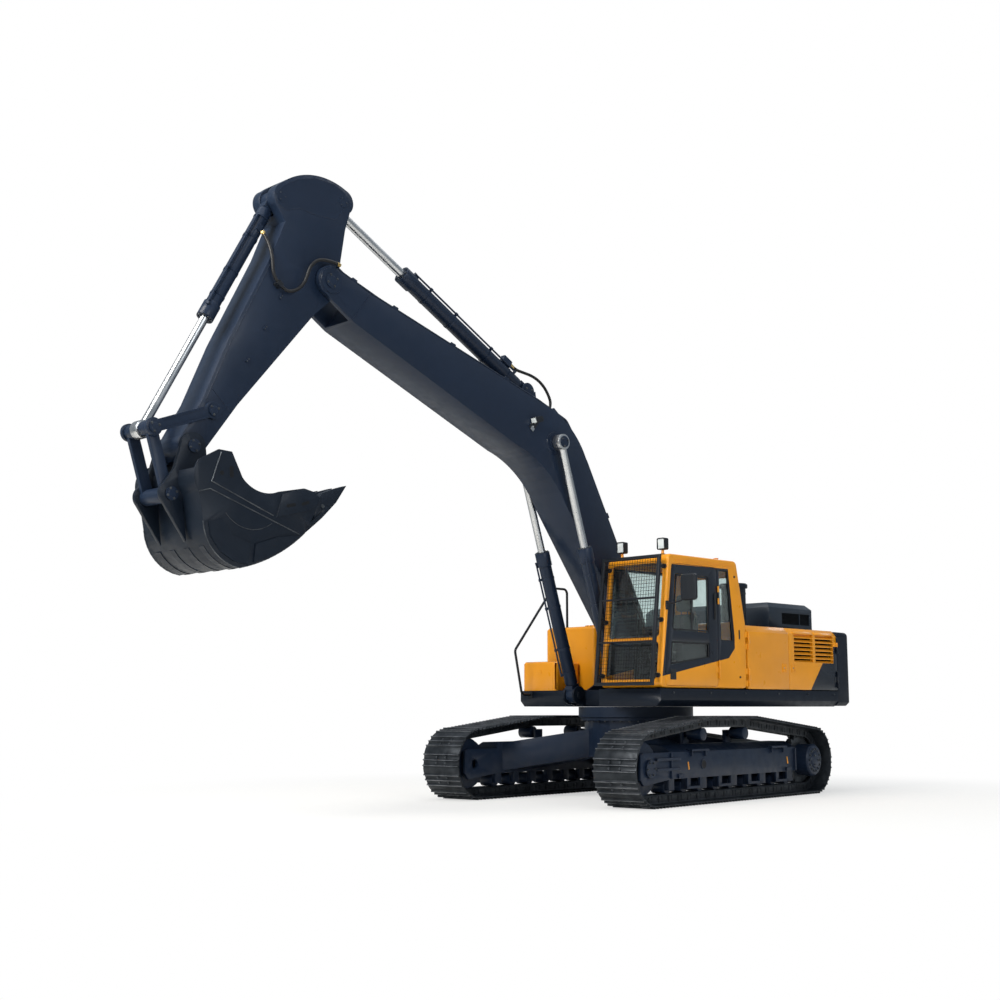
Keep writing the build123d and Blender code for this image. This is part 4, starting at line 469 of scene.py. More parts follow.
def ring(mesh, start, end, inner, outer, sides=36):
    """Open ring between two points, so that a rod can pass through it."""
    place, length = between(start, end)
    loops = []
    angles = [2 * pi * index / sides for index in range(sides)]
    for radius, z in ((outer, -length / 2), (outer, length / 2), (inner, length / 2), (inner, -length / 2)):
        around = [Vector((radius * cos(angle), radius * sin(angle), z)) for angle in angles]
        loops.append([mesh.verts.new(place @ point) for point in around])
    for low, high in zip(loops, loops[1:] + loops[:1]):
        for index in range(sides):
            after = (index + 1) % sides
            mesh.faces.new((low[index], low[after], high[after], high[index]))


def block(mesh, middle, size, soften=0.0, turn=None):
    """Box with its edges chamfered."""
    scaled = Matrix.Diagonal((*size, 1))
    place = Matrix.Translation(middle) @ (turn or Matrix.Identity(4)) @ scaled
    made = bmesh.ops.create_cube(mesh, size=1.0, matrix=place)
    if soften:
        edges = list(dict.fromkeys(edge for vertex in made["verts"] for edge in vertex.link_edges))
        bmesh.ops.bevel(mesh, geom=edges, offset=soften, segments=2, profile=0.7, affect="EDGES")


def bolt(mesh, point, normal, across=0.024):
    """Hexagon head on a washer, with a chamfered top."""
    foot, rise = Vector(point), Vector(normal).normalized() * across
    rod(mesh, foot, foot + rise * 0.14, across * 0.72, 14)
    rod(mesh, foot + rise * 0.14, foot + rise * 0.58, across * 0.5, 6)
    rod(mesh, foot + rise * 0.58, foot + rise * 0.70, across * 0.5, 6, across * 0.38)


def bolt_circle(mesh, centre, normal, radius, count, across=0.022, start=0.0):
    """Ring of bolts round an axis."""
    normal = Vector(normal).normalized()
    turn = normal.to_track_quat("Z", "Y").to_matrix()
    for index in range(count):
        angle = start + 2 * pi * index / count
        out = turn @ Vector((radius * cos(angle), radius * sin(angle), 0))
        bolt(mesh, Vector(centre) + out, normal, across)


def slab(mesh, corners, thickness, place):
    """Flat outline in a frame's x and y, raised along its z."""
    low = [mesh.verts.new(place @ Vector((x, y, 0))) for x, y in corners]
    high = [mesh.verts.new(place @ Vector((x, y, thickness))) for x, y in corners]
    mesh.faces.new(low)
    mesh.faces.new(high)
    for index in range(len(corners)):
        after = (index + 1) % len(corners)
        mesh.faces.new((low[index], low[after], high[after], high[index]))
    bmesh.ops.recalc_face_normals(mesh, faces=mesh.faces)


def bead(mesh, points, radius=0.006, step=0.022):
    """Weld bead: overlapping flattened ripples along straight runs."""
    for start, end in zip(points, points[1:]):
        start, end = Vector(start), Vector(end)
        count = max(1, int((end - start).length / step))
        for index in range(count):
            low = start.lerp(end, index / count)
            high = start.lerp(end, (index + 1.15) / count)
            rod(mesh, low, high, radius, 7, radius * 0.72)


def lattice(mesh, middle, across, up, columns, rows, wire):
    """Crossed wires over a rectangle given by its two half sides."""
    middle, across, up = Vector(middle), Vector(across), Vector(up)
    for index in range(columns + 1):
        shift = across * (2 * index / columns - 1)
        rod(mesh, middle + shift - up, middle + shift + up, wire, 6)
    for index in range(rows + 1):
        shift = up * (2 * index / rows - 1)
        rod(mesh, middle + shift - across, middle + shift + across, wire, 6)


def smooth_curve(name, points, resolution):
    """Curve that runs smoothly by its control points."""
    data = bpy.data.curves.new(name, "CURVE")
    data.dimensions = "3D"
    data.resolution_u = resolution
    spline = data.splines.new("NURBS")
    spline.points.add(len(points) - 1)
    for point, place in zip(spline.points, points):
        point.co = (*place, 1)
    spline.order_u = 3
    spline.use_endpoint_u = True
    return data


def curve_tube(name, points, radius, body, material):
    """Smooth hose or wire whose control points are given."""
    data = smooth_curve(name, points, 10)
    data.bevel_depth = radius
    data.bevel_resolution = 4
    data.use_fill_caps = True
    data.materials.append(material)
    made = placed(name, data)
    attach(made, body)
    return made


def link_frame(pin, angle):
    """Side view of a link: x along it, y to its upper side, z to the machine's right."""
    c, s = cos(radians(angle)), sin(radians(angle))
    return Matrix(((c, -s, 0, pin[0]), (0, 0, -1, 0), (s, c, 0, pin[2]), (0, 0, 0, 1)))


def side_turn(degrees):
    """Turn of a block that lies along a link."""
    return Matrix.Rotation(-radians(degrees), 4, "Y")


boom_frame = link_frame(pins["boom_lift"], boom_angle)
arm_frame = link_frame(pins["arm_swing"], arm_angle)
bucket_frame = link_frame(pins["bucket_curl"], bucket_angle)


def at(link, along, up, left):
    """World point from a place along, above and to the left of a link."""
    return link @ Vector((along, up, -left))


def face_frame(link, left):
    """Link frame moved onto a side face; z points out of that face."""
    moved = link @ Matrix.Translation((0, 0, -left))
    return moved @ Matrix.Diagonal((1, 1, -1, 1)) if left > 0 else moved


def under(x, y, z):
    """Point of the undercarriage, which is parked turned under the upper."""
    return parked @ Vector((x, y, z))


# ================================================================ undercarriage
def chain_stations():
    """Middle and heading of each shoe round the chain, at the pins."""
    ends = []
    roller_z = axle_z + pitch_radius + carrier_lift
    for reach in (axle_x - carrier_x[0], axle_x + carrier_x[1]):
        drop = roller_z - axle_z
        slope = atan2(drop, reach) - asin(pitch_radius / hypot(reach, drop))
        ends.append((axle_x + pitch_radius * sin(slope), axle_z + pitch_radius * cos(slope), slope))
    (front_x, front_z, front_slope), (rear_x, rear_z, rear_slope) = ends
    runs = [
        # length, start, heading at the start, turning radius (0 is straight)
        (2 * axle_x, (-axle_x, axle_z - pitch_radius), 0.0, 0.0),
        (pitch_radius * (pi - front_slope), (axle_x, axle_z - pitch_radius), 0.0, pitch_radius),
        (hypot(front_x - carrier_x[0], roller_z - front_z), (front_x, front_z), pi - front_slope, 0.0),
        (carrier_x[0] - carrier_x[1], (carrier_x[0], roller_z), pi, 0.0),
        (hypot(rear_x + carrier_x[1], roller_z - rear_z), (carrier_x[1], roller_z), pi + rear_slope, 0.0),
        (pitch_radius * (pi - rear_slope), (-rear_x, rear_z), pi + rear_slope, pitch_radius),
    ]
    pitch = sum(run[0] for run in runs) / shoe_count
    stations = []
    for index in range(2 * shoe_count):
        along = (index + 1) / 2 * pitch
        for length, (x, z), heading, turn in runs:
            if along <= length + 1e-9:
                break
            along -= length
        if turn:
            swept = along / turn
            x += turn * (sin(heading + swept) - sin(heading))
            z -= turn * (cos(heading + swept) - cos(heading))
            heading += swept
        else:
            x += along * cos(heading)
            z += along * sin(heading)
        stations.append((x, z, heading, index % 2 == 0))
    return pitch, stations


def make_chain_details():
    """Four bolts and three grouser crests on each shoe, and the links' pin bosses and raised sides."""
    pitch, stations = chain_stations()
    for side, name in ((1, "left"), (-1, "right")):
        bolts, links, crests = bmesh.new(), bmesh.new(), bmesh.new()
        for x, z, heading, is_shoe in stations:
            along = Vector((cos(heading), 0, sin(heading)))
            out = Vector((sin(heading), 0, -cos(heading)))
            pin = Vector((x, side * track_y, z))
            if is_shoe:
                for shift in (-pitch / 6, pitch / 6):
                    for across in (-0.076, 0.076):
                        foot = pin + along * shift + out * plate_outside + Vector((0, across, 0))
                        top = foot + out * 0.013
                        rod(bolts, under(*foot), under(*top), 0.015, 6)
                turn = parked @ Matrix.Rotation(-heading, 4, "Y")
                for shift in (-pitch / 3, 0.0, pitch / 3):
                    crest = pin + along * shift + out * (plate_outside + 0.0215)
                    block(crests, under(*crest), (0.0085, 2 * shoe_half - 0.004, 0.0065), turn=turn)
                for rail in (-1, 1):
                    middle = pin + Vector((0, rail * 0.0995, 0)) - out * 0.006
                    block(links, under(*middle), (pitch * 0.56, 0.008, 0.062), 0.003, turn)
            else:
                for rail in (-1, 1):
                    start = pin + Vector((0, rail * 0.096, 0))
                    end = pin + Vector((0, rail * 0.1045, 0))
                    rod(links, under(*start), under(*end), 0.036, 18)
                    rod(links, under(*end), under(*(end + Vector((0, rail * 0.003, 0)))), 0.019, 14)
        piece("shoe_bolts_" + name, "undercarriage", "machined_steel", bolts)
        piece("grouser_crests_" + name, "undercarriage", "machined_steel", crests, worn_steel)
        piece("link_sides_" + name, "undercarriage", "track_steel", links)


def make_undercarriage_details():
    """Drive and idler bolts, frame ribs, roller and chain guards, grease openings with dark discs of painted shade
    inside, and bearing bolts.
    """
    bolts, ribs, painted_opening_shade, marks = (bmesh.new() for _ in range(4))
    plates = [
        # x, distance outside the frame's face, z and size
        (1.640, 0.016, 0.440, (0.52, 0.036, 0.034)), (1.640, 0.016, 0.560, (0.52, 0.036, 0.034)),
        (1.560, 0.010, 0.480, (0.030, 0.026, 0.300)), (-1.545, 0.010, 0.480, (0.030, 0.026, 0.300)),
        (0.950, -0.004, 0.655, (0.40, 0.110, 0.022)), (-1.050, -0.004, 0.655, (0.40, 0.110, 0.022)),
        (1.350, 0.010, 0.352, (0.12, 0.024, 0.05)), (-1.350, 0.010, 0.352, (0.12, 0.024, 0.05)),
    ]
    for x in (1.02, 0.28, -0.46, -1.20):
        # U-shaped chain guide under the frame
        plates += [(x + shift, -0.022, 0.262, (0.036, 0.030, 0.130)) for shift in (-0.15, 0.15)]
        plates.append((x, -0.022, 0.208, (0.336, 0.030, 0.030)))
    tilt = parked @ Matrix.Rotation(radians(12), 4, "Y")
    for side in (1, -1):
        normal = under(0, side, 0)
        drive = under(-axle_x, side * (track_y + shoe_half - 0.036), axle_z)
        bolt_circle(bolts, drive, normal, 0.150, 14, 0.026)
        cap = under(-axle_x, side * (track_y + shoe_half - 0.018), axle_z)
        bolt_circle(bolts, cap, normal, 0.070, 3, 0.022)
        idler = under(axle_x, side * frame_face, axle_z)
        rod(ribs, idler, idler + normal * 0.028, 0.105, 32)
        bolt_circle(bolts, idler + normal * 0.028, normal, 0.078, 6, 0.022)
        for x, out, z, size in plates:
            block(ribs, under(x, side * (frame_face + out), z), size, 0.004, parked)
        for x in (0.79, 1.11, -1.21, -0.89):
            block(ribs, under(x, side * (frame_face + 0.012), 0.615), (0.022, 0.030, 0.070), turn=parked)
        # round grease opening with its rim and a dark disc of painted shade inside it, and the tie-down marks
        rim = under(grease_x, side * frame_face, grease_z)
        rod(ribs, rim, rim + normal * 0.010, 0.062, 28)
        rod(painted_opening_shade, rim + normal * 0.0095, rim + normal * 0.0113, 0.050, 28)
        for x in (1.162, -1.343):
            foot = under(x, side * (frame_face + 0.0015), 0.470)
            block(marks, foot, (0.022, 0.004, 0.095), 0.001, tilt)
    bearing_bolts, bearing_radius = 40, 0.718
    for index in range(bearing_bolts):
        angle = 2 * pi * index / bearing_bolts
        foot = under(bearing_radius * cos(angle), bearing_radius * sin(angle), 1.000)
        bolt(bolts, foot, (0, 0, -1), 0.026)
    piece("undercarriage_bolts", "undercarriage", "machined_steel", bolts)
    piece("track_frame_ribs", "undercarriage", "frame_navy", ribs)
    # near-black discs of painted shade inside the grease openings
    piece("grease_opening_painted_shade", "undercarriage", "guard_black", painted_opening_shade, mesh_black)
    piece("tie_down_marks", "undercarriage", "cab_amber", marks)


# ================================================================ cab
def front_point(across, z, out):
    """Point over the raked windscreen: y, height and distance in front of it."""
    x = cab_front - cab_rake * (z - cab_floor) / (cab_top - cab_floor)
    return Vector((x + out, across, z))


def make_guard():
    """Fine wire lattice of the front guard, with its clamps."""
    mesh = bmesh.new()
    low, high = 1.478, 3.010
    left, right = half_width - 0.055, cab_inner + 0.055
    columns, rows = 21, 34
    for index in range(columns + 1):
        y = right + (left - right) * index / columns
        rod(mesh, front_point(y, low, 0.121), front_point(y, high, 0.121), 0.0026, 6)
    for index in range(rows + 1):
        z = low + (high - low) * index / rows
        rod(mesh, front_point(right, z, 0.127), front_point(left, z, 0.127), 0.0026, 6)
    piece("guard_lattice", "upper", "guard_black", mesh, mesh_black)
    clamps = bmesh.new()
    for y in (cab_inner + 0.045, half_width - 0.045):
        for z in (1.562, 2.241, 2.910):
            foot = front_point(y, z, 0.010)
            rod(clamps, foot - Vector((0.020, 0, 0)), foot + Vector((0.022, 0, 0)), 0.030, 20)
            rod(clamps, foot + Vector((0.085, 0, 0)), foot + Vector((0.118, 0, 0)), 0.024, 16)
    piece("guard_clamps", "upper", "guard_black", clamps)


def outline_strip(mesh, corners, y, width, thick):
    """Rubber strip along a side-view outline."""
    for (x_0, z_0), (x_1, z_1) in zip(corners, corners[1:] + corners[:1]):
        length = hypot(x_1 - x_0, z_1 - z_0)
        turn = Matrix.Rotation(-atan2(z_1 - z_0, x_1 - x_0), 4, "Y")
        middle = ((x_0 + x_1) / 2, y, (z_0 + z_1) / 2)
        block(mesh, middle, (length + width * 0.6, thick, width), 0.002, turn)


def make_cab_trim():
    """Door seals and handles, rear window seal, latch buttons, wiper, lenses, mirror face and gutter."""
    seal = bmesh.new()
    upper_pane = [(0.318, 2.133), (1.030, 2.133), (0.948, 2.812), (0.318, 2.812)]
    lower_pane = [(0.316, 1.800), (1.080, 1.706), (1.056, 1.970), (0.316, 1.970)]
    outline_strip(seal, upper_pane, half_width - 0.012, 0.020, 0.010)
    outline_strip(seal, lower_pane, half_width - 0.012, 0.018, 0.010)
    block(seal, (0.640, half_width - 0.020, 2.470), (0.026, 0.012, 0.66), 0.003)
    block(seal, (0.640, half_width - 0.012, 2.300), (0.050, 0.014, 0.10), 0.003)
    piece("door_seals", "cab_door", "console_plastic", seal)

    handle = bmesh.new()
    block(handle, (1.055, half_width + 0.003, 1.575), (0.110, 0.008, 0.130), 0.003)
    block(handle, (1.055, half_width + 0.010, 1.592), (0.080, 0.010, 0.030), 0.003)
    rod(handle, (1.055, half_width + 0.006, 1.540), (1.055, half_width + 0.013, 1.540), 0.012, 14)
    block(handle, (0.190, half_width + 0.014, 2.450), (0.022, 0.022, 0.330), 0.006)
    piece("door_handles", "cab_door", "console_plastic", handle)

    fittings = bmesh.new()
    rear_seal = [(0.052, 2.022), (0.080, 2.926), (-0.114, 2.926), (-0.206, 2.022)]
    outline_strip(fittings, rear_seal, half_width - 0.012, 0.018, 0.010)
    block(fittings, (-0.335, half_width + 0.002, 2.110), (0.022, 0.008, 0.120), 0.003)
    for x, z in ((-0.335, 1.560), (-0.250, 2.860)):
        rod(fittings, (x, half_width, z), (x, half_width + 0.010, z), 0.014, 18)
    # wiper on the upper windscreen
    pivot = front_point(cab_middle + 0.25, 2.080, 0.012)
    tip = front_point(cab_middle - 0.16, 2.720, 0.006)
    rod(fittings, pivot - Vector((0.050, 0, 0)), pivot + Vector((0.022, 0, 0)), 0.020, 16)
    rod(fittings, pivot + Vector((0.014, 0, 0)), tip + Vector((0.012, 0, 0)), 0.007, 8)
    rod(fittings, tip - Vector((-0.004, 0.0, 0.36)), tip + Vector((-0.012, 0, 0.20)), 0.009, 8)
    piece("cab_fittings", "upper", "console_plastic", fittings)

    lenses, stubs, glass = bmesh.new(), bmesh.new(), bmesh.new()
    lamp_x, lamp_z = 1.020, cab_top + 0.135
    for y in (cab_inner + 0.160, half_width - 0.160):
        block(lenses, (lamp_x + 0.0325, y, lamp_z), (0.009, 0.094, 0.119), 0.004)
        rod(stubs, (lamp_x, y, cab_top + 0.010), (lamp_x, y, cab_top + 0.058), 0.022, 18, 0.016)
    piece("roof_lamp_lenses", "upper", "rod_chrome", lenses, lens_white)

    block(glass, (1.1775, 1.870, 2.620), (0.003, 0.196, 0.286), 0.0012)
    piece("mirror_face", "upper", "rod_chrome", glass, mirror_glass)

    # stub on the roof, and the rain gutter along it
    x, y = -0.140, half_width - 0.200
    rod(stubs, (x, y, cab_top - 0.002), (x, y, cab_top + 0.036), 0.024, 20)
    rod(stubs, (x, y, cab_top + 0.036), (x, y, cab_top + 0.042), 0.034, 20)
    block(stubs, (0.390, half_width + 0.004, 2.985), (1.180, 0.012, 0.014), 0.003)
    piece("roof_stubs", "upper", "cab_amber", stubs)


def make_seat():
    """Crowned cushions with sewn channels, over a moulded base."""
    power = 5.0
    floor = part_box("operator_seat")[0][2]
    parts = []
    shapes = [
        # name, middle, half sizes, lean back, axis of its thickness
        ("seat_cushion", (0.450, cab_middle, floor + 0.356), (0.245, 0.236, 0.066), 0.0, 2),
        ("seat_backrest", (0.219, cab_middle, floor + 0.615), (0.040, 0.226, 0.300), 6.5, 0),
        ("seat_headrest", (0.176, cab_middle, floor + 1.062), (0.034, 0.128, 0.112), 4.0, 0),
    ]
    for name, middle, half, lean, across in shapes:
        mesh = bmesh.new()
        bmesh.ops.create_cube(mesh, size=2.0)
        bmesh.ops.subdivide_edges(mesh, edges=mesh.edges, cuts=11, use_grid_fill=True)
        for vertex in mesh.verts:
            x, y, z = vertex.co
            # superellipse: sides pull in between the corners, faces are crowned
            size = (abs(x) ** power + abs(y) ** power + abs(z) ** power) ** (1 / power)
            p = vertex.co / size
            groove = sum(max(0.0, 1 - abs(p.y - seam) / 0.07) for seam in (-0.36, 0.36))
            p[across] *= 1 - 0.16 * groove - 0.10 * (p.y ** 2)
            vertex.co = Vector((p.x * half[0], p.y * half[1], p.z * half[2]))
        turn = Matrix.Rotation(radians(-lean), 3, "Y")
        bmesh.ops.rotate(mesh, cent=(0, 0, 0), matrix=turn, verts=mesh.verts)
        bmesh.ops.translate(mesh, vec=middle, verts=mesh.verts)
        for face in mesh.faces:
            face.smooth = True
        made = piece(name, "upper", "seat_fabric", mesh)
        made.modifiers.new("subdivide", "SUBSURF").levels = 1
        parts.append(made)
    base = bmesh.new()
    block(base, (0.430, cab_middle, floor + 0.050), (0.400, 0.360, 0.080), 0.012)
    block(base, (0.430, cab_middle, floor + 0.262), (0.410, 0.370, 0.040), 0.012)
    for index in range(5):
        fold = (0.430, cab_middle, floor + 0.108 + 0.030 * index)
        block(base, fold, (0.340 - 0.012 * (index % 2), 0.300, 0.020), 0.008)
    for y in (cab_middle - 0.05, cab_middle + 0.05):
        rod(base, (0.186, y, floor + 0.900), (0.180, y, floor + 0.972), 0.008, 12)
    suspension = piece("seat_base", "upper", "console_plastic", base)
    for made in parts + [suspension]:
        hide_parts("operator_seat")


# ================================================================ machinery house
def latch(mesh, keys, x, z, side):
    """Raised paddle latch with its key barrel."""
    y = side * half_width
    block(mesh, (x, y + side * 0.002, z), (0.090, 0.005, 0.120), 0.002)
    block(mesh, (x, y + side * 0.0055, z), (0.070, 0.004, 0.098), 0.002)
    block(mesh, (x - 0.018, y + side * 0.009, z), (0.020, 0.006, 0.080), 0.002)
    rod(keys, (x + 0.016, y + side * 0.006, z), (x + 0.016, y + side * 0.013, z), 0.009, 16)


def make_house_trim():
    """Latches, hood grilles and ribs, filler cap, tank seams, tool box tread, bolts and stack bands."""
    for name, body, x, side in (("front_door_latch", "left_front_door", -1.350, 1),
                                ("rear_door_latch", "left_rear_door", -1.560, 1),
                                ("pump_door_latch", "right_pump_door", -1.480, -1)):
        mesh, keys = bmesh.new(), bmesh.new()
        latch(mesh, keys, x, 1.700, side)
        piece(name, body, "cab_amber", mesh)
        piece(name + "_key", body, "rod_chrome", keys)

    hood_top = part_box("engine_hood")[1][2]
    grille, frame_mesh = bmesh.new(), bmesh.new()
    middle_x, grille_z = -2.2425, 2.410
    for side in (1, -1):
        lattice(grille, (middle_x, side * 1.078, grille_z), (0.346, 0, 0), (0, 0, 0.082), 40, 9, 0.0022)
        for z in (grille_z - 0.085, grille_z + 0.085):
            block(frame_mesh, (middle_x, side * 1.092, z), (0.72, 0.014, 0.014), 0.003)
        for x in (middle_x - 0.35, middle_x + 0.35):
            block(frame_mesh, (x, side * 1.092, grille_z), (0.014, 0.014, 0.17), 0.003)
        block(frame_mesh, (middle_x - 0.10, side * 1.090, grille_z), (0.016, 0.012, 0.168), 0.003)
    for index in range(5):
        y = (index - 2) * 0.36
        block(frame_mesh, (-2.110, y, hood_top - 0.0035), (0.76, 0.030, 0.006), 0.002)
    piece("hood_grille", "engine_hood", "guard_black", grille, mesh_black)
    # the hood's ribs take the hood's navy, painted lighter as a painted sky reflection
    piece("hood_trim", "engine_hood", "body_grey", frame_mesh, hood_paint_painted_sky_reflection)

    cap, seams = bmesh.new(), bmesh.new()
    x, y, grips = -0.150, -0.900, 12
    rod(cap, (x, y, 2.318), (x, y, 2.3195), 0.060, 28)
    for index in range(grips):
        angle = 2 * pi * index / grips
        grip = (x + 0.094 * cos(angle), y + 0.094 * sin(angle), 2.303)
        block(cap, grip, (0.016, 0.016, 0.028), 0.003, Matrix.Rotation(angle, 4, "Z"))
    piece("fuel_cap_grip", "upper", "guard_black", cap)
    for x, z, height in ((-0.310, 1.835, 0.840), (0.070, 1.835, 0.840), (-1.280, 1.815, 0.790),
                         (-0.540, 1.815, 0.790)):
        block(seams, (x, -1.483, z), (0.030, 0.006, height), 0.002)
    block(seams, (0.691, -1.145, 1.660), (0.008, 0.090, 0.060), 0.003)
    piece("tank_seams", "upper", "cab_amber", seams)

    deck, plate = bmesh.new(), bmesh.new()
    for x in range(-5, 6):
        for y in range(-2, 3):
            sign = 1 if (x + y) % 2 else -1
            turn = Matrix.Rotation(sign * pi / 4, 4, "Z")
            block(plate, (0.445 + x * 0.038, -1.145 + y * 0.10, 1.7955), (0.034, 0.008, 0.004), turn=turn)
    block(deck, (0.445, -1.145, 1.7945), (0.440, 0.560, 0.004), 0.001)
    piece("tool_box_tread", "upper", "guard_black", deck)
    piece("tool_box_studs", "upper", "guard_black", plate, palette["machined_steel"])

    bolts = bmesh.new()
    for x in (-0.62, -1.00, -1.38):
        for y in (-1.20, -0.60, 0.0, 0.60):
            if hypot(x - stack_x, y - stack_y) > 0.24:
                bolt(bolts, (x, y, 2.245), (0, 0, 1), 0.022)
    for side in (1, -1):
        for x in (-2.55, -1.90, -1.20, -0.45, 0.30, 1.05):
            if side > 0 or x < 0.70:
                bolt(bolts, (x, side * half_width, 1.352), (0, side, 0), 0.020)
    for y in (-1.00, -0.35, 0.35, 1.00):
        bolt(bolts, (-2.760, y, 2.235), (0, 0, 1), 0.030)
    piece("body_bolts", "upper", "machined_steel", bolts)

    stack = bmesh.new()
    for z in (2.33, 2.70):
        rod(stack, (stack_x, stack_y, z), (stack_x, stack_y, z + 0.022), 0.169, 40)
    piece("stack_bands", "upper", "guard_black", stack)


def make_tail_lines():
    """Parting seams of the counterweight's rear, as thin raised strips."""
    mesh = bmesh.new()
    radius, inset = 3.330, 0.0035
    for z in (1.560, 1.900):
        points = []
        for index in range(25):
            angle = radians(-19 + 38 * index / 24)
            points.append(Vector((-radius * cos(angle) + inset, radius * sin(angle), z)))
        for start, end in zip(points, points[1:]):
            rod(mesh, start, end, 0.004, 6)
    for y in (-0.70, 0.70):
        x = inset - (radius ** 2 - y ** 2) ** 0.5
        rod(mesh, (x, y, 1.560), (x, y, 1.900), 0.004, 6)
    piece("counterweight_seams", "upper", "body_grey", mesh)


# ================================================================ boom, arm and cylinders
strokes = {joint["name"]: Vector(joint["axis"]) for joint in frame["joints"] if joint["type"] == "slide"}


def pin_cap(mesh, bolts, link, along, up, left, radius, count=4, thick=0.012):
    """Round cover over a pin's end, with its bolts; left is the face it stands on."""
    out = Vector((0, 1 if left > 0 else -1, 0))
    foot = at(link, along, up, left)
    rod(mesh, foot, foot + out * thick, radius, 36)
    rod(mesh, foot + out * thick, foot + out * (thick + 0.004), radius * 0.62, 30, radius * 0.56)
    if count:
        bolt_circle(bolts, foot + out * thick, out, radius * 0.78, count, 0.020, 0.4)


def make_pin_caps():
    """Covers of the pins, each on the body that holds the pin."""
    world = link_frame((0, 0, 0), 0)
    boom_rod = (2.922, 1.047)
    rows = [
        # name, body, frame, along, up, face, radius, bolts, thickness
        ("boom_tip_caps", "boom", boom_frame, 6.665, 0.0, 0.286, 0.088, 4, 0.010),
        ("arm_cylinder_foot_caps", "boom", boom_frame, 3.560, 1.400, 0.102, 0.070, 3, 0.008),
        ("boom_foot_caps", "upper", world, 0.120, 1.950, 0.326, 0.088, 4, 0.010),
        ("cylinder_foot_caps", "upper", world, 0.820, 1.333, 0.488, 0.070, 3, 0.007),
        ("boom_rod_caps", "boom_rods", boom_frame, *boom_rod, cylinder_side + 0.062, 0.074, 3, 0.009),
        ("rocker_pivot_caps", "arm", arm_frame, 2.242, 0.077, 0.263, 0.064, 3, 0.007),
        ("rod_pin_caps", "rocker", arm_frame, 2.880, 0.441, 0.263, 0.064, 3, 0.007),
        ("bucket_pin_caps", "bucket", bucket_frame, 0.0, 0.0, 0.273, 0.070, 4, 0.008),
        ("link_pin_caps", "bucket", bucket_frame, -0.169, 0.545, 0.275, 0.070, 4, 0.008),
    ]
    for name, body, link, along, up, face, radius, count, thick in rows:
        mesh, bolts = bmesh.new(), bmesh.new()
        for side in (1, -1):
            pin_cap(mesh, bolts, link, along, up, side * face, radius, count, thick)
        piece(name, body, "frame_navy", mesh)
        piece(name + "_bolts", body, "machined_steel", bolts)


def make_cylinder_details():
    """Gland bolts, hard pipes with clips, and port fittings of the cylinders."""
    rows = [
        # name, body, ys, barrel radius, rod radius, barrel end, way to the pipe
        ("boom", "boom_barrels", (cylinder_side, -cylinder_side), 0.084, 0.050, 1.960, -1),
        ("arm", "arm_barrel", (0.0,), 0.095, 0.055, 2.355, 1),
        ("bucket", "bucket_barrel", (0.0,), 0.080, 0.047, 1.700, 1),
    ]
    for name, body, ys, radius, rod_radius, end, way in rows:
        bolts, pipes = bmesh.new(), bmesh.new()
        axis, foot = strokes[name + "_cylinder_stroke"], pins[name + "_cylinder_tilt"]
        up = Vector((-axis.z, 0, axis.x)) * way
        for y in ys:
            start = Vector((foot[0], y, foot[2]))
            bolt_circle(bolts, start + axis * end, axis, (radius + 0.014 + rod_radius) / 2, 8, 0.020)
            ring(pipes, start + axis * (end - 0.002), start + axis * (end + 0.006), rod_radius + 0.002,
                 rod_radius + 0.012, 32)
            ring(pipes, start + axis * (end * 0.16), start + axis * (end * 0.16 + 0.014), radius - 0.002,
                 radius + 0.006)
            side = Vector((0, 1 if y >= 0 else -1, 0))
            way_out = (up * 0.78 + side * 0.62).normalized()
            lift = way_out * (radius + 0.024)
            rod(pipes, start + axis * 0.300 + lift, start + axis * (end - 0.130) + lift, 0.012, 14)
            for place in (0.300, end - 0.130):
                foot_of_port = start + axis * place
                rod(pipes, foot_of_port + way_out * (radius - 0.006), foot_of_port + lift * 1.12, 0.019, 14)
            for share in (0.33, 0.62, 0.82):
                middle = start + axis * (end * share)
                ring(pipes, middle - axis * 0.014, middle + axis * 0.014, radius - 0.002, radius + 0.005)
                rod(pipes, middle - axis * 0.016 + lift, middle + axis * 0.016 + lift, 0.020, 12)
        piece(name + "_gland_bolts", body, "machined_steel", bolts)
        piece(name + "_cylinder_pipes", body, "frame_navy", pipes)


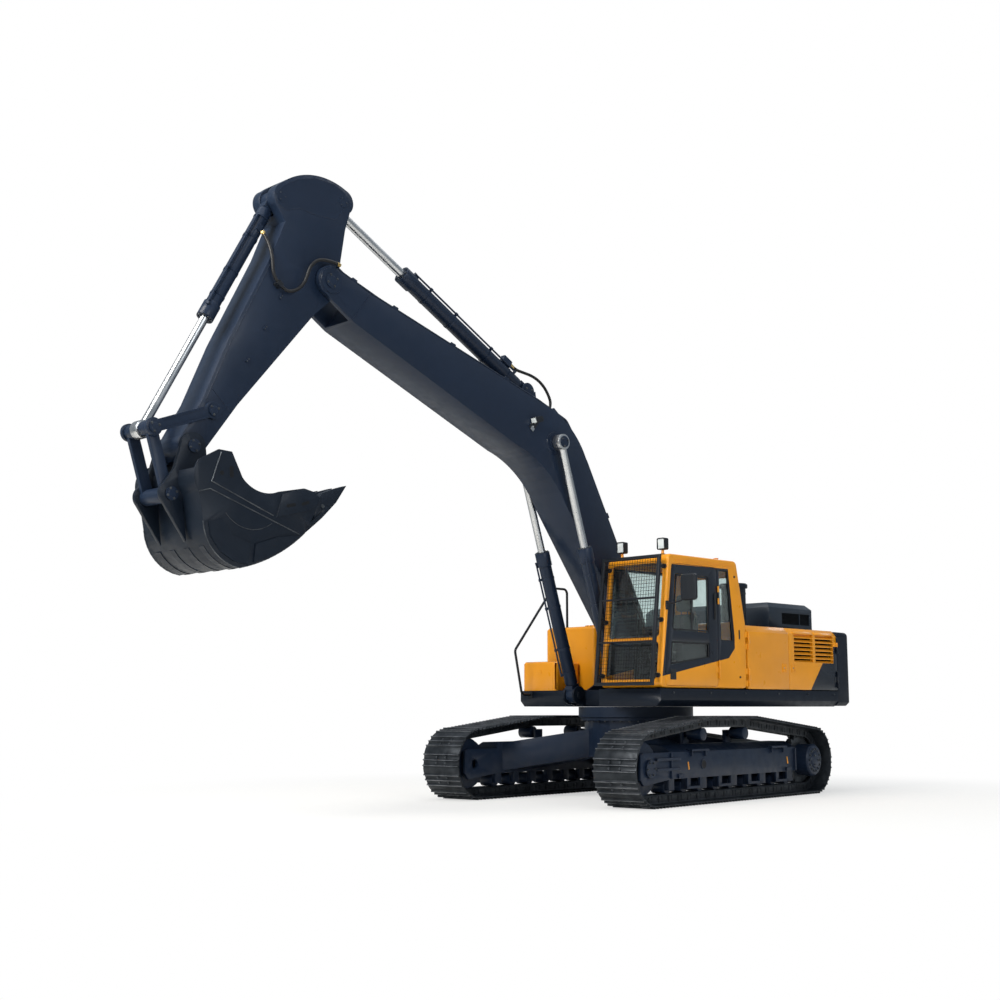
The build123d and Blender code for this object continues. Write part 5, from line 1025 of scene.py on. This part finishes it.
def make_boom_trim():
    """Boss rings, weld beads, lamp lens and bracket, and the bolts of the pipe clamps."""
    mesh = bmesh.new()
    for side in (1, -1):
        out = Vector((0, side, 0))
        for along, up, radius, thick in ((6.665, 0.0, 0.150, 0.014), (2.922, 1.047, 0.150, 0.012),
                                         (0.0, 0.0, 0.140, 0.006)):
            foot = at(boom_frame, along, up, side * boom_half)
            rod(mesh, foot, foot + out * thick, radius, 48, radius - 0.006)
        face = side * (boom_half + 0.001)
        for line in ([(6.195, -0.128), (6.195, 0.306)], [(0.300, 0.005), (0.300, 0.380)]):
            bead(mesh, [at(boom_frame, x, z, face) for x, z in line], 0.005)
    piece("boom_bosses", "boom", "frame_navy", mesh)

    lens, bracket = bmesh.new(), bmesh.new()
    facing = Matrix.Rotation(radians(17.6), 4, "Y")
    middle = at(boom_frame, 3.4085, 0.9750, boom_half + 0.050)
    block(lens, middle, (0.006, 0.082, 0.060), 0.002, facing)
    piece("boom_lamp_lens", "boom", "rod_chrome", lens, lens_white)
    for shift in (-0.030, 0.030):
        place = at(boom_frame, 3.351, 0.966 + shift, boom_half + 0.0125)
        bolt(bracket, place, (0, 1, 0), 0.018)
    middle = at(boom_frame, 3.340, 0.905, boom_half + 0.008)
    block(bracket, middle, (0.060, 0.012, 0.050), 0.002, side_turn(boom_angle))
    piece("boom_lamp_bracket", "boom", "rod_chrome", bracket)

    nuts = bmesh.new()
    runs = (((0.380, 0.405), (2.450, 1.342)), ((3.350, 1.325), (6.190, 0.306)))
    for along in (0.900, 1.600, 4.000, 4.900, 5.800):
        (x_0, z_0), (x_1, z_1) = runs[0] if along < 2.450 else runs[1]
        slope = (z_1 - z_0) / (x_1 - x_0)
        up = Vector((-slope, 1)).normalized()
        for left in (0.225, -0.225):
            for shift in (-0.022, 0.022):
                x = along + shift + up.x * 0.058
                z = z_0 + slope * (along + shift - x_0) + up.y * 0.058
                foot = at(boom_frame, x, z, left)
                bolt(nuts, foot, at(boom_frame, x + up.x, z + up.y, left) - foot, 0.016)
    piece("pipe_clamp_bolts", "boom", "machined_steel", nuts)


def make_arm_trim():
    """Doubler plates, pin retainers, welds and clamp blocks on the arm's sides."""
    mesh, bolts = bmesh.new(), bmesh.new()
    doubler = [(-0.965, 0.425), (-0.640, 0.400), (-0.430, 0.640), (-0.330, 0.800), (-0.160, 0.900),
               (-0.135, 1.000), (-0.205, 1.095), (-0.345, 1.098), (-0.560, 1.030), (-0.780, 0.880),
               (-0.940, 0.680), (-0.990, 0.520)]
    for side in (1, -1):
        place = face_frame(arm_frame, side * arm_half)
        slab(mesh, doubler, 0.003, place)
        out = Vector((0, side, 0))
        for along, up, radius in ((-0.237, 1.031, 0.062), (-0.890, 0.467, 0.062)):
            foot = at(arm_frame, along, up, side * (arm_half + 0.003))
            rod(mesh, foot, foot + out * 0.003, radius, 32)
            bolt_circle(bolts, foot + out * 0.001, out, radius * 0.72, 3, 0.012)
        face = side * (arm_half + 0.001)
        bead(mesh, [at(arm_frame, x, z, face) for x, z in doubler + doubler[:1]], 0.0035, 0.030)
        for line in ([(0.420, 0.640), (1.500, 0.400), (2.200, 0.200)],
                     [(2.080, -0.090), (2.060, 0.220)]):
            bead(mesh, [at(arm_frame, x, z, face) for x, z in line], 0.004, 0.030)
        for along, up in ((0.640, 0.300), (1.060, 0.210), (1.500, 0.130)):
            middle = at(arm_frame, along, up, side * (arm_half + 0.006))
            block(mesh, middle, (0.060, 0.014, 0.034), 0.003, side_turn(arm_angle))
            for shift in (-0.016, 0.016):
                foot = at(arm_frame, along + shift, up, side * (arm_half + 0.013))
                bolt(bolts, foot, out, 0.012)
    piece("arm_plates", "arm", "frame_navy", mesh)
    piece("arm_bolts", "arm", "machined_steel", bolts)


def arc_through(first, middle, last, count):
    """Points on the arc through three places, as x, y pairs."""
    (a_x, a_y), (b_x, b_y), (c_x, c_y) = first, middle, last
    d = 2 * (a_x * (b_y - c_y) + b_x * (c_y - a_y) + c_x * (a_y - b_y))
    a_2, b_2, c_2 = a_x ** 2 + a_y ** 2, b_x ** 2 + b_y ** 2, c_x ** 2 + c_y ** 2
    x = (a_2 * (b_y - c_y) + b_2 * (c_y - a_y) + c_2 * (a_y - b_y)) / d
    y = (a_2 * (c_x - b_x) + b_2 * (a_x - c_x) + c_2 * (b_x - a_x)) / d
    radius = hypot(a_x - x, a_y - y)
    start, bend, end = (atan2(q - y, p - x) for p, q in (first, middle, last))
    full = 2 * pi
    sweep = (end - start) % full
    if (bend - start) % full > sweep:
        sweep -= full
    angles = [start + sweep * index / count for index in range(count + 1)]
    return [(x + radius * cos(angle), y + radius * sin(angle)) for angle in angles]


def slot_outline(x, z, length, width, lean):
    """Outline of a round-ended slot about a middle, leaning in degrees."""
    turn = radians(lean)
    points = []
    for end, first in ((1, -pi / 2), (-1, pi / 2)):
        for index in range(9):
            angle = first + pi * index / 8
            u = end * length / 2 + width / 2 * cos(angle)
            v = width / 2 * sin(angle)
            points.append((x + u * cos(turn) - v * sin(turn), z + u * sin(turn) + v * cos(turn)))
    return points


def make_bucket_trim():
    """Weld seams, wear plates and strips, dark sheets of painted shade where the side plates have slots, and the
    pins of the teeth.
    """
    mesh, painted_slot_shade, wear = bmesh.new(), bmesh.new(), bmesh.new()
    heel = arc_through((0.058, 0.800), (0.245, 1.075), (0.560, 1.168), 8)
    floor = arc_through((0.560, 1.168), (0.960, 0.950), (1.290, 0.640), 10)
    outside = heel + floor[1:]
    for side in (1, -1):
        face = side * (bucket_half + 0.001)
        for line in ([(0.084, 0.385), (0.868, 0.550)], [(-0.040, 0.520), (0.080, 0.464), (1.220, 0.665)],
                     [(0.142, 0.068), (0.084, 0.385)]):
            bead(mesh, [at(bucket_frame, x, z, face) for x, z in line], 0.007, 0.026)
        place = face_frame(bucket_frame, side * bucket_half)
        slab(wear, [(0.110, 0.790), (0.250, 0.720), (0.420, 0.860), (0.640, 0.900), (0.650, 1.120),
                    (0.470, 1.120), (0.290, 1.050), (0.160, 0.930)], 0.012, place)
        slab(wear, [(0.700, 0.890), (0.960, 0.760), (1.150, 0.700), (1.225, 0.690), (1.090, 0.820),
                    (0.930, 0.950), (0.710, 1.080)], 0.012, place)
        arc = arc_through((0.300, 0.660), (0.560, 0.760), (0.860, 0.640), 10)
        bead(mesh, [at(bucket_frame, x, z, face) for x, z in arc], 0.004, 0.030)
        # thin near-black sheets of painted shade where the side plates and cutters have slots
        cutter = face_frame(bucket_frame, side * (bucket_half + 0.018))
        for x, z, length, lean in ((0.186, 0.272, 0.0, 0.0), (0.296, 0.232, 0.075, 78.0)):
            slab(painted_slot_shade, slot_outline(x, z, length, 0.046, lean), 0.0014, place)
        for x, z, length, lean in ((1.060, 0.395, 0.090, -24.0), (1.235, 0.330, 0.075, -30.0)):
            slab(painted_slot_shade, slot_outline(x, z, length, 0.034, lean), 0.0014, cutter)
        # back rim strip beside the side plate
        bead(mesh, [at(bucket_frame, x, z, side * (bucket_half - 0.004)) for x, z in outside], 0.006, 0.040)
    for index in range(4):
        left = (index - 1.5) * 0.270
        for (x_0, z_0), (x_1, z_1) in zip(outside[3:], outside[4:]):
            start, end = at(bucket_frame, x_0, z_0, left), at(bucket_frame, x_1, z_1, left)
            turn = Matrix.Rotation(-atan2(end.z - start.z, end.x - start.x), 4, "Y")
            block(wear, (start + end) / 2, ((end - start).length + 0.006, 0.090, 0.014), 0.003, turn)
    piece("bucket_welds", "bucket", "machined_steel", mesh)
    piece("bucket_wear_plates", "bucket", "bucket_navy", wear)
    # the slots' painted shade, in a near-black finish
    piece("side_plate_slot_painted_shade", "bucket", "guard_black", painted_slot_shade, mesh_black)

    keepers = bmesh.new()
    pitch = 0.251
    for index in range(5):
        left = (index - 2) * pitch
        for side in (1, -1):
            foot = at(bucket_frame, 1.480, 0.300, left + side * 0.048)
            rod(keepers, foot, foot + Vector((0, side * 0.007, 0)), 0.022, 18)
            bolt(keepers, foot + Vector((0, side * 0.004, 0)), (0, side, 0), 0.018)
    piece("tooth_pins", "bucket", "machined_steel", keepers)


def make_linkage_trim():
    """Raised rims on both sides of a recess along the rocker arms."""
    mesh = bmesh.new()
    start, end = Vector((2.242, 0.077)), Vector((2.880, 0.441))
    along = (end - start).normalized()
    across = Vector((-along.y, along.x))
    for side in (1, -1):
        face = side * (arm_half + 0.008 + 0.038 + 0.003)
        turn = Matrix.Rotation(-(radians(arm_angle) + atan2(along.y, along.x)), 4, "Y")
        for shift in (-0.052, 0.052):
            middle = (start + end) / 2 + across * shift
            block(mesh, at(arm_frame, middle.x, middle.y, face), (0.500, 0.008, 0.018), 0.002, turn)
    piece("rocker_rims", "rocker", "frame_navy", mesh)


# ================================================================ hoses
hose_radius = 0.019
# the arm cylinder's hose, as along, above and to the left of the boom
arm_hose_route = [(3.970, 1.490, 0.040), (3.860, 1.505, 0.042), (3.740, 1.575, 0.046), (3.600, 1.655, 0.050),
                  (3.450, 1.697, 0.054), (3.290, 1.685, 0.058), (3.110, 1.600, 0.060), (3.110, 1.465, 0.060)]
# the bucket cylinder's hoses, as along, above and to the left of the arm: from its port to a clamp on
# the arm's side, and from the clamp to the port on the boom's tip
port_hose_route = [(0.196, 0.898, 0.094), (0.232, 0.845, 0.132), (0.318, 0.750, 0.192), (0.430, 0.655, 0.240),
                   (0.535, 0.575, 0.256), (0.583, 0.500, 0.262), (0.583, 0.425, 0.262)]
knee_hose_route = [(0.583, 0.425, 0.262), (0.583, 0.350, 0.264), (0.548, 0.285, 0.268), (0.450, 0.232, 0.276),
                   (0.335, 0.226, 0.286), (0.238, 0.262, 0.296), (0.140, 0.304, 0.306), (0.022, 0.300, 0.314),
                   (-0.070, 0.236, 0.316), (-0.170, 0.110, 0.316), (-0.206, 0.050, 0.300)]


def spline_points(points):
    """Points read from the smooth route that the control points give."""
    holder = placed("route", smooth_curve("route", points, 12))
    mesh = bpy.data.meshes.new_from_object(holder)
    places = [vertex.co.copy() for vertex in mesh.vertices]
    bpy.data.objects.remove(holder)
    bpy.data.meshes.remove(mesh)
    return places


def tube_mesh(places, radius, sides=12):
    """Tube along a smooth run of points, without twist."""
    mesh = bmesh.new()
    rings = []
    side = Vector((0, 0, 1))
    for index, place in enumerate(places):
        ahead = places[min(index + 1, len(places) - 1)] - places[max(index - 1, 0)]
        ahead.normalize()
        side = (side - ahead * side.dot(ahead)).normalized()
        other = ahead.cross(side)
        angles = [2 * pi * k / sides for k in range(sides)]
        around = [(side * cos(angle) + other * sin(angle)) * radius for angle in angles]
        rings.append([mesh.verts.new(place + out) for out in around])
    for low, high in zip(rings, rings[1:]):
        for k in range(sides):
            after = (k + 1) % sides
            mesh.faces.new((low[k], low[after], high[after], high[k])).smooth = True
    mesh.faces.new(rings[0][::-1])
    mesh.faces.new(rings[-1])
    bmesh.ops.recalc_face_normals(mesh, faces=mesh.faces)
    return mesh


def run_length(places):
    """Length of a run of points."""
    return sum((after - before).length for before, after in zip(places, places[1:]))


def ferrule(mesh, end, inner, nut, reach):
    """Nut, if it has a length, and tapered sleeve on the end of a hose."""
    ahead = (inner - end).normalized()
    if nut:
        rod(mesh, end, end + ahead * nut, 0.026, 6)
    rod(mesh, end + ahead * nut, end + ahead * reach, 0.0235, 20, 0.0215)


def make_hoses():
    """Hose over the knee to the arm cylinder, and hose over the arm pivot to the bucket cylinder."""
    world = [at(boom_frame, *point) for point in arm_hose_route]
    first = curve_tube("arm_hose", world, hose_radius, "boom", hose_rubber)
    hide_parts("arm_cylinder_hose")
    ferrules = bmesh.new()
    ferrule(ferrules, world[0], world[1], 0.020, 0.070)
    ferrule(ferrules, world[-1], world[-2], 0.020, 0.070)
    sleeves = piece("arm_hose_ferrules", "boom", "machined_steel", ferrules, brass)
    round(run_length(spline_points(world)), 3)

    # across the arm's pivot, with the clamp that holds both runs on the arm
    world = [at(arm_frame, *point) for point in knee_hose_route]
    places = spline_points(world)
    second = mesh_object("knee_hose", tube_mesh(places, hose_radius), hose_rubber)
    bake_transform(second)
    collar = bmesh.new()
    ferrule(collar, world[-1], world[-2], 0.0, 0.045)
    port = piece("boom_port_ferrule", "boom", "machined_steel", collar, brass)
    clamp = bmesh.new()
    block(clamp, at(arm_frame, 0.583, 0.425, 0.246), (0.058, 0.082, 0.070), 0.004, side_turn(arm_angle))
    piece("hose_clamp", "arm", "guard_black", clamp)

    # from the clamp to the bucket cylinder, which tilts a little on the arm
    world = [at(arm_frame, *point) for point in port_hose_route]
    places = spline_points(world)
    third = mesh_object("port_hose", tube_mesh(places, hose_radius), hose_rubber)
    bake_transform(third)
    collar = bmesh.new()
    ferrule(collar, world[0], world[1], 0.020, 0.040)
    port = piece("cylinder_port_ferrule", "bucket_barrel", "machined_steel", collar, brass)


make_chain_details()
make_undercarriage_details()
make_guard()
make_cab_trim()
make_seat()
make_house_trim()
make_tail_lines()
make_pin_caps()
make_cylinder_details()
make_boom_trim()
make_arm_trim()
make_bucket_trim()
make_linkage_trim()
make_hoses()

make_camera()
make_floor()
make_world()
area_light("key", (17, 0, 13), (1, 0, 2.5), (8, 8), 3300, (1.0, 0.97, 0.92))
area_light("fill", (7, 18, 8), (1, 0, 2.5), (10, 8), 950, (0.94, 0.97, 1.0))
area_light("top", (0, 0, 16), (0, 0, 0), (14, 14), 1000)
area_light("back", (-16, -10, 9), (0, 0, 2.5), (10, 8), 700, (0.94, 0.97, 1.0))

scene.view_settings.view_transform = "Standard"
